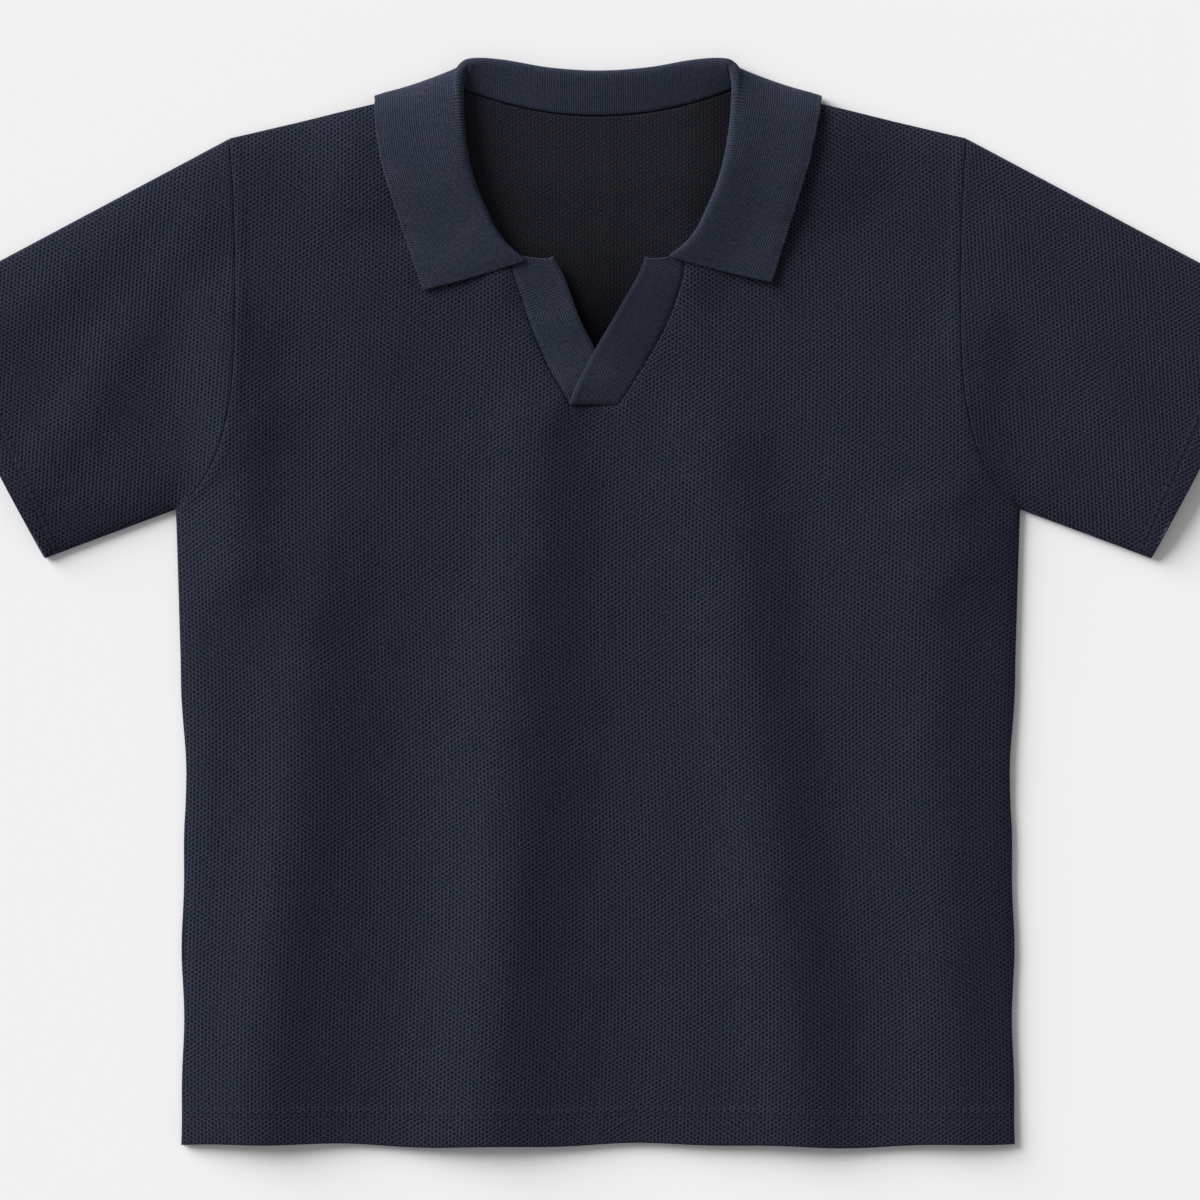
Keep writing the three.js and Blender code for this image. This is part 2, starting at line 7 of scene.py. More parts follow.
import bpy
import numpy as np
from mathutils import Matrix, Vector


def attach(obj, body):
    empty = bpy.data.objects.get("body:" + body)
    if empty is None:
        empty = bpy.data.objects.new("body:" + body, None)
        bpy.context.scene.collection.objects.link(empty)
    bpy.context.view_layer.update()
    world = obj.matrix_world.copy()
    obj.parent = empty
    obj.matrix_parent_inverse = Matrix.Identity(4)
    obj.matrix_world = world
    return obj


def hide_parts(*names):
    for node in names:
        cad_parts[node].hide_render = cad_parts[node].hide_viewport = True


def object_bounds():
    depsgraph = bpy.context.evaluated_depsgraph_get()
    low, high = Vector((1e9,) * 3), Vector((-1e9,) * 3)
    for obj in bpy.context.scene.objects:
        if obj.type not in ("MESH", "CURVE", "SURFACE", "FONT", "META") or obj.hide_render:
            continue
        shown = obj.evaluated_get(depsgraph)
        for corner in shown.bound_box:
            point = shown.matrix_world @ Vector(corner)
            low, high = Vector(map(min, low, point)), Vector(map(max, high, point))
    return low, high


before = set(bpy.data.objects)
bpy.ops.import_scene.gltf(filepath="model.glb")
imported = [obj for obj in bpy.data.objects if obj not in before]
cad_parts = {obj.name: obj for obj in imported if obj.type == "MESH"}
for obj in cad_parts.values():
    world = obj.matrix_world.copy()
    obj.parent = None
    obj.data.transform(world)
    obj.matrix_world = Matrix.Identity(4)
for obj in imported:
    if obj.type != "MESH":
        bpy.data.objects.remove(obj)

CAD_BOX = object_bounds()
MM = 0.001

# Cut of the garment
BODY_LENGTH = 690.0
HALF_CHEST = 275.0
HALF_WAIST = 269.0
HALF_HEM = 272.0
HALF_ACROSS = 236.0
HALF_SHOULDER = 240.0
SHOULDER_DROP = 34.0
UNDERARM_Y = -275.0
HALF_NECK = 95.0
BACK_NECK_DROP = 20.0
SLIT_BOTTOM_Y = -208.0
SLEEVE_LENGTH = 235.0
SLEEVE_ANGLE = math.radians(28)
CUFF_WIDTH = 185.0
HEM_DEPTH = 25.0

# Cloth
PIQUE = 1.6
RIB = 2.2
BAND = 2.4
SEAM_GAP = 0.3

# How the laid cloth lies
AIR = 4.5
AIR_EDGE = 12.0
FOLD_EDGE = 38.0
TUCK_RISE = 3.8
TUCK_HALF_WIDTH = 152.0
TUCK_Y = -54.0
TUCK_FADE = 46.0
HEM_SETTLE = 0.45
HEM_REACH = 70.0
SEWN_REACH = 3.0

# The hem lies at the low end of the frame's Y
ORIGIN_Y = CAD_BOX[0][1] / MM + BODY_LENGTH

# Camera: straight above the middle of the photo's frame, which is 1200 pixels of 0.65 mm wide
FRAME_WIDTH = 0.780
FRAME_CENTRE = (1.3 * MM, (-334.75 + ORIGIN_Y) * MM)
LENS_HEIGHT = 2.75
SUBJECT_HEIGHT = 0.010
SENSOR = 36.0


def make_camera():
    data = bpy.data.cameras.new("camera")
    data.sensor_width = SENSOR
    data.lens = SENSOR * LENS_HEIGHT / FRAME_WIDTH
    camera = bpy.data.objects.new("camera", data)
    camera.location = (*FRAME_CENTRE, SUBJECT_HEIGHT + LENS_HEIGHT)
    bpy.context.scene.collection.objects.link(camera)
    bpy.context.scene.camera = camera


make_camera()

# Ridges and troughs of the laid cloth, as in the solids. Each row has the x and y of its two ends,
# then the half width at each end, then the height at each end.
RIDGES = [
    (-182, -300, -226, -690, 26, 30, 2.5, 9.0),
    (-122, -330, -144, -700, 28, 30, -1.0, -3.2),
    (-42, -222, -72, -690, 32, 32, 4.0, 8.5),
    (4, -238, 24, -700, 28, 36, -1.4, -2.8),
    (78, -237, 134, -690, 28, 32, 3.2, 6.4),
    (126, -237, 176, -680, 22, 28, -1.2, -2.0),
    (212, -290, 238, -700, 24, 28, 2.5, 5.5),
    (-242, -150, -236, -310, 26, 28, 5.0, 8.5),
    (240, -160, 236, -310, 26, 26, 3.0, 4.0),
    (-168, -150, -156, -300, 40, 40, 1.5, 1.5),
    (190, -150, 200, -300, 42, 40, 2.0, 2.0),
    (-250, -246, -196, -206, 12, 18, 1.2, 1.0),
    (-252, -296, -190, -344, 14, 22, 1.6, 1.0),
    (250, -248, 204, -200, 12, 18, 1.4, 1.5),
    (252, -300, 204, -352, 14, 22, 1.6, 1.0),
    (-62, -122, -100, -34, 20, 24, 3.0, 3.5),
    (62, -122, 100, -34, 20, 24, 3.0, 3.5),
    (-262, -92, -372, -268, 16, 22, 1.5, 3.0),
    (-300, -84, -430, -190, 14, 20, 1.0, 2.5),
    (262, -96, 366, -262, 16, 22, 1.5, 3.0),
    (304, -80, 424, -196, 14, 20, 1.0, 2.5),
]

# Finer creases that only the shown surface has, in the same columns
CREASES = [
    (-6, -212, -14, -262, 13, 20, -1.5, -0.4),
    (-26, -206, -50, -250, 5, 11, 0.7, 0.1),
    (19, -208, 40, -256, 5, 12, 0.6, 0.1),
    (-232, -262, -150, -270, 9, 16, 0.5, 0.1),
    (236, -268, 160, -284, 7, 16, 1.0, 0.2),
    (-244, -330, -205, -420, 10, 16, 0.5, 0.1),
    (246, -336, 214, -430, 8, 16, 0.9, 0.2),
    (-285, -262, -330, -210, 8, 14, 1.0, 0.3),
    (285, -262, 336, -206, 8, 14, 1.0, 0.3),
]

# Faint unevenness of cloth laid by hand: wavelength, direction in degrees, phase and height
WAVES = [
    (93, 12, 0.4, 0.20),
    (71, 158, 2.1, 0.16),
    (57, 75, 4.4, 0.14),
    (43, 118, 1.3, 0.10),
    (34, 33, 5.2, 0.08),
    (27, 171, 3.0, 0.06),
]


# Heights of the two layers
def smooth(value, low, high):
    t = np.clip((value - low) / (high - low), 0, 1)
    return t * t * (3 - 2 * t)


def along_segment(x, y, x0, y0, x1, y1):
    dx, dy = x1 - x0, y1 - y0
    t = np.clip(((x - x0) * dx + (y - y0) * dy) / (dx * dx + dy * dy), 0, 1)
    return t, np.hypot(x - x0 - t * dx, y - y0 - t * dy)


def folds(rows, x, y):
    total = np.zeros_like(x)
    for x0, y0, x1, y1, w0, w1, h0, h1 in rows:
        t, r = along_segment(x, y, x0, y0, x1, y1)
        width = w0 + (w1 - w0) * t
        total += (h0 + (h1 - h0) * t) * np.exp(-((r / width) ** 2))
    return total


def waves(x, y):
    total = np.zeros_like(x)
    for length, degrees, phase, height in WAVES:
        a = math.radians(degrees)
        along = x * math.cos(a) + y * math.sin(a)
        total += height * np.sin(2 * np.pi * along / length + phase)
    return total


SHOULDER = (HALF_SHOULDER, -SHOULDER_DROP)
UNDERARM = (HALF_CHEST, UNDERARM_Y)
CUFF_TOP = (
    SHOULDER[0] + SLEEVE_LENGTH * math.cos(SLEEVE_ANGLE),
    SHOULDER[1] - SLEEVE_LENGTH * math.sin(SLEEVE_ANGLE),
)
CUFF_LOW = (
    CUFF_TOP[0] - CUFF_WIDTH * math.sin(SLEEVE_ANGLE),
    CUFF_TOP[1] - CUFF_WIDTH * math.cos(SLEEVE_ANGLE),
)
SIDE = [(HALF_HEM, -BODY_LENGTH), (HALF_WAIST, -470.0), (HALF_CHEST, UNDERARM_Y)]
JOINED = [
    (SIDE[0], SIDE[1]),
    (SIDE[1], SIDE[2]),
    (UNDERARM, CUFF_LOW),
    (CUFF_TOP, SHOULDER),
    (SHOULDER, (HALF_NECK, 0.0)),
]


def distance_to_joined(x, y):
    ax = np.abs(x)
    return np.min([along_segment(ax, y, *a, *b)[1] for a, b in JOINED], axis=0)


def lower_bottom(x, y):
    across = 1 - smooth(np.abs(x), TUCK_HALF_WIDTH, TUCK_HALF_WIDTH + TUCK_FADE)
    return TUCK_RISE * across * smooth(y, TUCK_Y - TUCK_FADE, TUCK_Y)


def lower_middle(x, y):
    return lower_bottom(x, y) + PIQUE / 2


def air_between(x, y):
    d = distance_to_joined(x, y)
    raised = folds(RIDGES, x, y) + folds(CREASES, x, y) + waves(x, y)
    opened = AIR * (1 - np.exp(-d / AIR_EDGE)) + raised * (1 - np.exp(-d / FOLD_EDGE))
    hem = np.exp(-np.maximum(0, y + BODY_LENGTH) / HEM_REACH)
    sewn = SEAM_GAP * np.exp(-((d / SEWN_REACH) ** 2))
    return opened * (1 - HEM_SETTLE * hem) - sewn


def upper_middle(x, y):
    return lower_bottom(x, y) + PIQUE + SEAM_GAP + air_between(x, y) + PIQUE / 2


# Meshes
def unit(vectors):
    return vectors / np.maximum(np.linalg.norm(vectors, axis=-1, keepdims=True), 1e-9)


def vertex_normals(points, quads):
    a, b, c, d = (points[quads[:, k]] for k in range(4))
    face = np.cross(c - a, d - b)
    normals = np.zeros_like(points)
    for k in range(4):
        np.add.at(normals, quads[:, k], face)
    return unit(normals)


# A free edge is rounded over these angles, and a sewn one keeps this share of the rounding
RIM_ANGLES = (45, 90, 135)
SEWN_ROUNDING = 0.15


def cloth_shell(name, points, quads, uv, thickness, materials, sewn=None):
    """A wall about middle points in mm, with round edges but where sewn. materials is (outer, inner)."""
    count = len(points)
    normals = vertex_normals(points, quads)
    start = quads.ravel()
    end = np.roll(quads, -1, axis=1).ravel()
    free = ~np.isin(start * count + end, end * count + start)
    p, q = start[free], end[free]
    out = np.zeros_like(points)
    side = np.cross(points[q] - points[p], normals[p] + normals[q])
    np.add.at(out, p, side)
    np.add.at(out, q, side)
    rim = np.unique(np.concatenate([p, q]))
    out = unit(out)
    half = np.broadcast_to(np.asarray(thickness, float) / 2, (count,))[:, None]
    rim_half = half[rim]
    if sewn is not None:
        out[sewn] *= SEWN_ROUNDING
    inset = np.zeros_like(points)
    inset[rim] = -out[rim] * rim_half
    layers = [points + inset + normals * half]
    rim_index = np.full(count, -1)
    rim_index[rim] = np.arange(len(rim))
    for degrees in RIM_ANGLES:
        angle = math.radians(degrees)
        shift = (out[rim] * (math.sin(angle) - 1) + normals[rim] * math.cos(angle)) * rim_half
        layers.append(points[rim] + shift)
    layers.append(points + inset - normals * half)
    starts = np.cumsum([0] + [len(layer) for layer in layers[:-1]])
    faces = [quads, quads[:, ::-1] + starts[-1]]
    slots = [np.zeros(len(quads), int), np.ones(len(quads), int)]

    def ring(k, index):
        if k == 0:
            return index
        if k == len(layers) - 1:
            return index + starts[-1]
        return rim_index[index] + starts[k]

    for k in range(len(layers) - 1):
        faces.append(np.stack([ring(k, q), ring(k, p), ring(k + 1, p), ring(k + 1, q)], axis=1))
        slots.append(np.full(len(p), 0 if k < len(layers) // 2 else 1))
    vertex_uv = np.concatenate([uv] + [uv[rim]] * len(RIM_ANGLES) + [uv])
    layers, faces, slots = (np.concatenate(parts) for parts in (layers, faces, slots))
    return make_mesh(name, layers, faces, vertex_uv, slots, materials)


def make_mesh(name, points, faces, uv, slots, materials):
    placed = (points + np.array([0.0, ORIGIN_Y, 0.0])) * MM
    mesh = bpy.data.meshes.new(name)
    mesh.vertices.add(len(placed))
    mesh.vertices.foreach_set("co", placed.astype(np.float32).ravel())
    sides = faces.shape[1]
    mesh.loops.add(faces.size)
    mesh.loops.foreach_set("vertex_index", faces.astype(np.int32).ravel())
    mesh.polygons.add(len(faces))
    mesh.polygons.foreach_set("loop_start", np.arange(0, faces.size, sides, dtype=np.int32))
    layer = mesh.uv_layers.new(name="knit")
    layer.data.foreach_set("uv", (uv[faces.ravel()] * MM).astype(np.float32).ravel())
    for material in materials:
        mesh.materials.append(material)
    mesh.polygons.foreach_set("material_index", slots.astype(np.int32))
    mesh.polygons.foreach_set("use_smooth", np.ones(len(faces), dtype=bool))
    mesh.update(calc_edges=True)
    mesh.validate()
    obj = bpy.data.objects.new(name, mesh)
    bpy.context.scene.collection.objects.link(obj)
    return obj


def quads_of_grid(present):
    """Quads between neighbouring grid points that are all present, and the index of each point."""
    index = np.full(present.shape, -1)
    index[present] = np.arange(present.sum())
    quads = np.stack([index[:-1, :-1], index[:-1, 1:], index[1:, 1:], index[1:, :-1]], axis=-1).reshape(-1, 4)
    return quads[(quads >= 0).all(axis=1)]


# Curves in plan
def catmull_rom(points, t):
    """Centripetal Catmull-Rom through points, at shares t of the number of spans."""
    points = np.asarray(points, float)
    first = 2 * points[0] - points[1]
    last = 2 * points[-1] - points[-2]
    padded = np.concatenate([[first], points, [last]])
    spans = len(points) - 1
    place = np.clip(np.asarray(t, float) * spans, 0, spans)
    k = np.minimum(place.astype(int), spans - 1)
    w = (place - k)[:, None]
    p0, p1, p2, p3 = (padded[k + i] for i in range(4))

    def knot(a, b):
        return np.maximum(np.sqrt(np.linalg.norm(b - a, axis=1, keepdims=True)), 1e-4)

    d0, d1, d2 = knot(p0, p1), knot(p1, p2), knot(p2, p3)
    t1 = ((p1 - p0) / d0 - (p2 - p0) / (d0 + d1) + (p2 - p1) / d1) * d1
    t2 = ((p2 - p1) / d1 - (p3 - p1) / (d1 + d2) + (p3 - p2) / d2) * d1
    return p1 + t1 * w + (-3 * p1 + 3 * p2 - 2 * t1 - t2) * w**2 + (2 * p1 - 2 * p2 + t1 + t2) * w**3


def resample(points, count):
    """count points evenly spaced along a polyline."""
    points = np.asarray(points, float)
    steps = np.linalg.norm(np.diff(points, axis=0), axis=1)
    length = np.concatenate([[0], np.cumsum(steps)])
    wanted = np.linspace(0, length[-1], count)
    return np.stack([np.interp(wanted, length, points[:, k]) for k in range(points.shape[1])], axis=1)


def mirrored(points):
    return np.asarray(points) * np.array([-1.0, 1.0])


ARMHOLE = [
    UNDERARM, (260, -261), (248, -240), (239.5, SLIT_BOTTOM_Y),
    (HALF_ACROSS, -165), (HALF_ACROSS, -110), (237.5, -65), SHOULDER,
]
NECK_EDGE = [
    (57, -113), (67, -109.5), (77, -101), (85.5, -87), (91.5, -70),
    (95.5, -50), (97.3, -30), (97, -12), (HALF_NECK, 0),
]
# Placket bands: level, then the seam and free edge of the left band and of the right one
BAND_COLUMNS = ("y", "left_seam", "left_edge", "right_edge", "right_seam")
BAND_LEVELS = [
    (-112.5, -56.8, -29.0, 30.4, 56.0),
    (-122.0, -55.4, -23.0, 26.6, 55.8),
    (-137.8, -50.0, -17.0, 17.8, 51.4),
    (-152.8, -45.1, -11.3, 9.2, 45.8),
    (-167.7, -39.7, -3.6, 0.4, 38.2),
    (-182.7, -33.2, 3.7, -7.8, 29.6),
    (-197.3, -24.7, 9.4, -15.1, 20.5),
    (-207.6, -19.3, 12.6, -19.0, 13.2),
]


def band_curve(column, shares):
    """Points (x, y) of one edge of a band, from the foot (0) to the neck (1)."""
    k = BAND_COLUMNS.index(column)
    points = [(row[k], row[0]) for row in reversed(BAND_LEVELS)]
    return catmull_rom(points, shares)


# Rows of the panels, from the hem up
ARMHOLE_LINE = catmull_rom(ARMHOLE, np.linspace(0, 1, 200))
LOW_ARMHOLE = ARMHOLE_LINE[ARMHOLE_LINE[:, 1] <= SLIT_BOTTOM_Y]
HIGH_ARMHOLE = ARMHOLE_LINE[ARMHOLE_LINE[:, 1] >= SLIT_BOTTOM_Y]
SLIT_ROWS = 56
NECK_ROWS = 40
UNDERARM_ROWS = 20
HEM_LEVELS = (0, 1.5, 4, 8, 12, 16, 19, 21, 22, 23, 24, 25, 26, 27, 29, 32)
FIRST_BODY_LEVEL = 35
EDGE_CROWDING = 1.25

# Steps of the panels' grids: along the length in mm, then columns at the side and in the middle
FRONT_STEP, FRONT_SIDE_COLUMNS, FRONT_MIDDLE_COLUMNS = 3.8, 62, 11
BACK_STEP, BACK_SIDE_COLUMNS, BACK_MIDDLE_COLUMNS = 7.0, 30, 49

# Relief of hems and seams
HEM_STITCH_ROWS = (HEM_DEPTH - 6.0, HEM_DEPTH - 1.0)
HEM_DOUBLED, HEM_STITCH_SINK, HEM_STITCH_REACH = 0.45, 0.50, 0.9
ARMHOLE_RISE, ALLOWANCE_NEAR, ALLOWANCE_FAR = 0.45, 5.0, 9.0
SLIT_SINK, SLIT_REACH = 0.5, 1.3
BACK_CREASE_X, BACK_CREASE_WIDTH, BACK_CREASE_HEIGHT = 7, 2.4, 0.5

# A distance that no seam's relief reaches
FAR = 99.0


def hem_levels(step):
    """Levels above the hem edge, close together at its stitching, up to the underarm."""
    return np.concatenate([HEM_LEVELS, np.arange(FIRST_BODY_LEVEL, BODY_LENGTH + UNDERARM_Y - 1, step)])


def side_wave(level):
    """Sides laid by hand are not quite straight."""
    return (0.9 * np.sin(level / 31.0) + 0.6 * np.sin(level / 13.0 + 1.0)) * (1 - smooth(level, -400, -330))


def hem_wave(x, y):
    """The hem rises and falls a little, and the cloth near it with it."""
    return (1.1 * np.sin(x / 38.0 + 0.6) + 0.6 * np.sin(x / 15.0)) * (1 - smooth(y + BODY_LENGTH, 0, 70))


def outer_points(step):
    levels = hem_levels(step) - BODY_LENGTH
    xs = np.interp(levels, [s[1] for s in SIDE], [s[0] for s in SIDE]) + side_wave(levels)
    low = resample(LOW_ARMHOLE, UNDERARM_ROWS + 1)[:-1]
    yoke = resample(HIGH_ARMHOLE, SLIT_ROWS + NECK_ROWS + 1)
    return np.stack([xs, levels], axis=1), low, yoke


def toward_edge(count):
    """Shares from an outer edge (0) inwards (1), closer together at the edge."""
    return np.linspace(0, 1, count + 1) ** EDGE_CROWDING


def span(a, b, shares):
    return a[:, None] + (b - a)[:, None] * shares[None, :, None]


def build_front(materials):
    side, low, yoke = outer_points(FRONT_STEP)
    slit_share = np.linspace(0, 1, SLIT_ROWS + 1)
    neck = resample(catmull_rom(NECK_EDGE, np.linspace(0, 1, 200)), NECK_ROWS + 1)[1:]
    inner_left = np.concatenate([band_curve("left_seam", slit_share), mirrored(neck)])
    inner_right = np.concatenate([band_curve("right_seam", slit_share), neck])
    below = np.concatenate([side, low])
    outer = np.concatenate([below, yoke])
    left, right = down_to_hem(inner_left, below), down_to_hem(inner_right, below)
    wide = toward_edge(FRONT_SIDE_COLUMNS)
    middle = np.linspace(0, 1, FRONT_MIDDLE_COLUMNS)
    grid = np.concatenate(
        [
            span(mirrored(outer), left, wide),
            span(left, right, middle)[:, 1:-1],
            span(outer, right, wide)[:, ::-1],
        ],
        axis=1,
    )
    present = np.ones(grid.shape[:2], bool)
    present[len(below) + 1 :, len(wide) : len(wide) + len(middle) - 2] = False
    plan = grid[present]
    x, y = plan[:, 0], plan[:, 1]
    z = upper_middle(x, y) + hem_relief(y + BODY_LENGTH) + seam_relief(x, y)
    z = z - SLIT_SINK * slit_seam(x, y, SLIT_REACH)
    points = np.stack([x, y + hem_wave(x, y), z], axis=1)
    uv = plan + grain_drift(x, y)
    return cloth_shell("front_cloth", points, quads_of_grid(present), uv, PIQUE, materials)


def down_to_hem(inner, below):
    """An edge of the slit, carried straight down from its foot to the hem."""
    inner[0, 1] = SLIT_BOTTOM_Y
    foot = np.full(len(below), inner[0, 0])
    return np.concatenate([np.stack([foot, below[:, 1]], axis=1), inner])


def grain_drift(x, y):
    """The knit's rows and columns wander a little, as cloth laid by hand is never quite straight."""
    return np.stack([2.4 * np.sin(y / 70 + x / 150), 1.8 * np.sin(x / 80 + 0.7)], axis=1)


def slit_seam(x, y, reach):
    """1 at the seams between the front and its two bands and at their foot, fading within reach."""
    levels = np.linspace(0, 1, 60)
    near = np.full(x.shape, FAR)
    for column in ("left_seam", "right_seam"):
        line = band_curve(column, levels)
        d = np.abs(x - np.interp(y, line[:, 1], line[:, 0]))
        near = np.where((y > SLIT_BOTTOM_Y) & (y < -100), np.minimum(near, d), near)
    foot = np.where((x > -19.5) & (x < 13.5), np.abs(y - SLIT_BOTTOM_Y), FAR)
    return np.exp(-((np.minimum(near, foot) / reach) ** 2))


def hem_relief(above):
    """A turned hem: a little thicker, and drawn in along its two rows of stitches."""
    doubled = HEM_DOUBLED * (1 - smooth(above, HEM_DEPTH - 1.5, HEM_DEPTH + 1.5))
    rows = sum(np.exp(-(((above - row) / HEM_STITCH_REACH) ** 2)) for row in HEM_STITCH_ROWS)
    return doubled - HEM_STITCH_SINK * rows


def seam_relief(x, y):
    """The armhole's seam allowance, which raises the body's edge a little."""
    ax = np.abs(x)
    upper = y > UNDERARM_Y - 8
    edge = np.interp(y, ARMHOLE_LINE[:, 1], ARMHOLE_LINE[:, 0])
    d = np.where(upper, np.maximum(0, edge - ax), FAR)
    return ARMHOLE_RISE * (1 - smooth(d, ALLOWANCE_NEAR, ALLOWANCE_FAR)) * smooth(d, -1.0, 1.5)


def build_back(materials):
    side, low, yoke = outer_points(BACK_STEP)
    below = np.concatenate([side, low])
    outer = np.concatenate([below, yoke])
    share = np.concatenate([np.zeros(len(below)), np.linspace(0, 1, len(yoke))])
    level = np.where(np.arange(len(outer)) < len(below), outer[:, 1], SLIT_BOTTOM_Y * (1 - share))
    left = np.stack([np.full(len(outer), -HALF_NECK), level], axis=1)
    right = mirrored(left)
    wide = toward_edge(BACK_SIDE_COLUMNS)
    middle = span(left, right, np.linspace(0, 1, BACK_MIDDLE_COLUMNS))[:, 1:-1]
    middle[:, :, 1] -= BACK_NECK_DROP * share[:, None] * (1 - (middle[:, :, 0] / HALF_NECK) ** 2)
    grid = np.concatenate(
        [span(mirrored(outer), left, wide), middle, span(outer, right, wide)[:, ::-1]], axis=1
    )
    plan = grid.reshape(-1, 2)
    x, y = plan[:, 0], plan[:, 1]
    crease = np.exp(-(((x - BACK_CREASE_X) / BACK_CREASE_WIDTH) ** 2)) * smooth(y, -170, -60)
    z = lower_middle(x, y) + BACK_CREASE_HEIGHT * crease
    points = np.stack([x, y + hem_wave(x, y), z], axis=1)
    quads = quads_of_grid(np.ones(grid.shape[:2], bool))
    return cloth_shell("back_cloth", points, quads, plan, PIQUE, materials)


# A sleeve is a flattened tube, sewn along the underarm and folded along the top
SLEEVE_RINGS = 62
SLEEVE_SIDE_POINTS = 46
SLEEVE_FINE_POINTS = 400
CUFF_LEVELS = (0, 1.5, 5, 10, 15, 18, 19, 20, 22, 23, 24, 25, 26, 27, 30)
FIRST_SLEEVE_LEVEL = 34
SLEEVE_SEAM_RISE = 0.35
FOLD_RADIUS = (PIQUE + SEAM_GAP) / 2


def cuff_line(count):
    """count points along the cuff, from the underarm up."""
    low, top = np.array(CUFF_LOW), np.array(CUFF_TOP)
    return low + (top - low) * np.linspace(0, 1, count)[:, None]


def build_sleeve(name, side, materials):
    head = resample(ARMHOLE_LINE, SLEEVE_SIDE_POINTS)
    cuff = cuff_line(SLEEVE_SIDE_POINTS)
    levels = np.concatenate([CUFF_LEVELS, np.linspace(FIRST_SLEEVE_LEVEL, SLEEVE_LENGTH, SLEEVE_RINGS)])
    along = (1 - levels / SLEEVE_LENGTH)[::-1]
    points = []
    uv = []
    axis = np.array([math.cos(SLEEVE_ANGLE), -math.sin(SLEEVE_ANGLE)])
    normal = np.array([math.sin(SLEEVE_ANGLE), math.cos(SLEEVE_ANGLE)])
    inset = PIQUE / 2 + FOLD_RADIUS
    for s in along:
        line = head + (cuff - head) * s
        lengths = np.linalg.norm(np.diff(line, axis=0), axis=1)
        total = lengths.sum()
        line = resample(line, SLEEVE_FINE_POINTS)
        reach = np.linspace(0, total, SLEEVE_FINE_POINTS)
        wanted = inset + (total - 2 * inset) * smoothed_ends(SLEEVE_SIDE_POINTS)
        flat = np.stack([np.interp(wanted, reach, line[:, k]) for k in (0, 1)], axis=1)
        top_z = sleeve_top(side * flat[:, 0], flat[:, 1], s)
        ring = np.concatenate(
            [
                np.column_stack([flat, top_z]),
                turn(line[-1], line[-8], top_z[-1], 1),
                np.column_stack([flat[::-1], np.full(len(flat), PIQUE / 2)]),
                turn(line[0], line[7], top_z[0], -1),
            ]
        )
        points.append(ring)
        down = ring[:, :2] @ axis
        over = ring[:, :2] @ normal
        uv.append(np.stack([over, -down], axis=1))
    ring_size = len(points[0])
    points = np.concatenate(points) * np.array([side, 1, 1])
    uv = np.concatenate(uv) * np.array([side, 1])
    quads = []
    k = np.arange(ring_size)
    for i in range(len(along) - 1):
        a, b = i * ring_size + k, i * ring_size + (k + 1) % ring_size
        quads.append(np.stack([b, a, a + ring_size, b + ring_size], axis=1))
    quads = np.concatenate(quads)
    if side < 0:
        quads = quads[:, ::-1]
    return cloth_shell(name, points, quads, uv, PIQUE, materials)


def smoothed_ends(count):
    """Shares from 0 to 1, closer together at both ends."""
    t = np.linspace(0, 1, count)
    return 0.55 * t + 0.45 * (1 - np.cos(np.pi * t)) / 2


def sleeve_top(x, y, s):
    """Middle of the upper layer at share s of the way from the armhole to the cuff."""
    from_seam = s * SLEEVE_LENGTH
    seam = SLEEVE_SEAM_RISE * (1 - smooth(from_seam, 2.0, 7.0)) * smooth(from_seam, -1.0, 1.5)
    return upper_middle(x, y) + hem_relief(SLEEVE_LENGTH - from_seam) + seam


def turn(edge, inner, top, sense):
    """Points round the fold between the layers, from the upper layer down (1) or from the lower up (-1)."""
    outward = (edge - inner) / np.linalg.norm(edge - inner)
    low = PIQUE / 2
    mid, radius = (top + low) / 2, (top - low) / 2
    rows = []
    for degrees in (-45, 0, 45):
        a = math.radians(degrees)
        reach = math.cos(a) * FOLD_RADIUS - PIQUE / 2 - FOLD_RADIUS
        rows.append([*(edge + outward * reach), mid - sense * math.sin(a) * radius])
    return np.array(rows)


# Placket bands: they lap below LAP_TOP, and fully below LAP_FULL
LAP_TOP, LAP_FULL = -150.0, -176.0
OVER_LIFT, LAP_LIFT, UNDER_SINK = 0.3, 1.5, 0.9
BAND_ROWS = 96
BAND_STEPS_ACROSS = 34
BAND_TOP_LAP = 1.4
CORNER_NUB, NUB_SHARE = 1.2, 0.07
BAND_ROLL, ROLL_FROM_EDGE, ROLL_REACH = 0.20, 2.6, 2.2
BAND_PUFF = 0.30
BAND_SEAM_SINK, BAND_SEAM_REACH = 0.9, 1.7
BAND_THINNED, THINNED_REACH = 1.1, 2.6


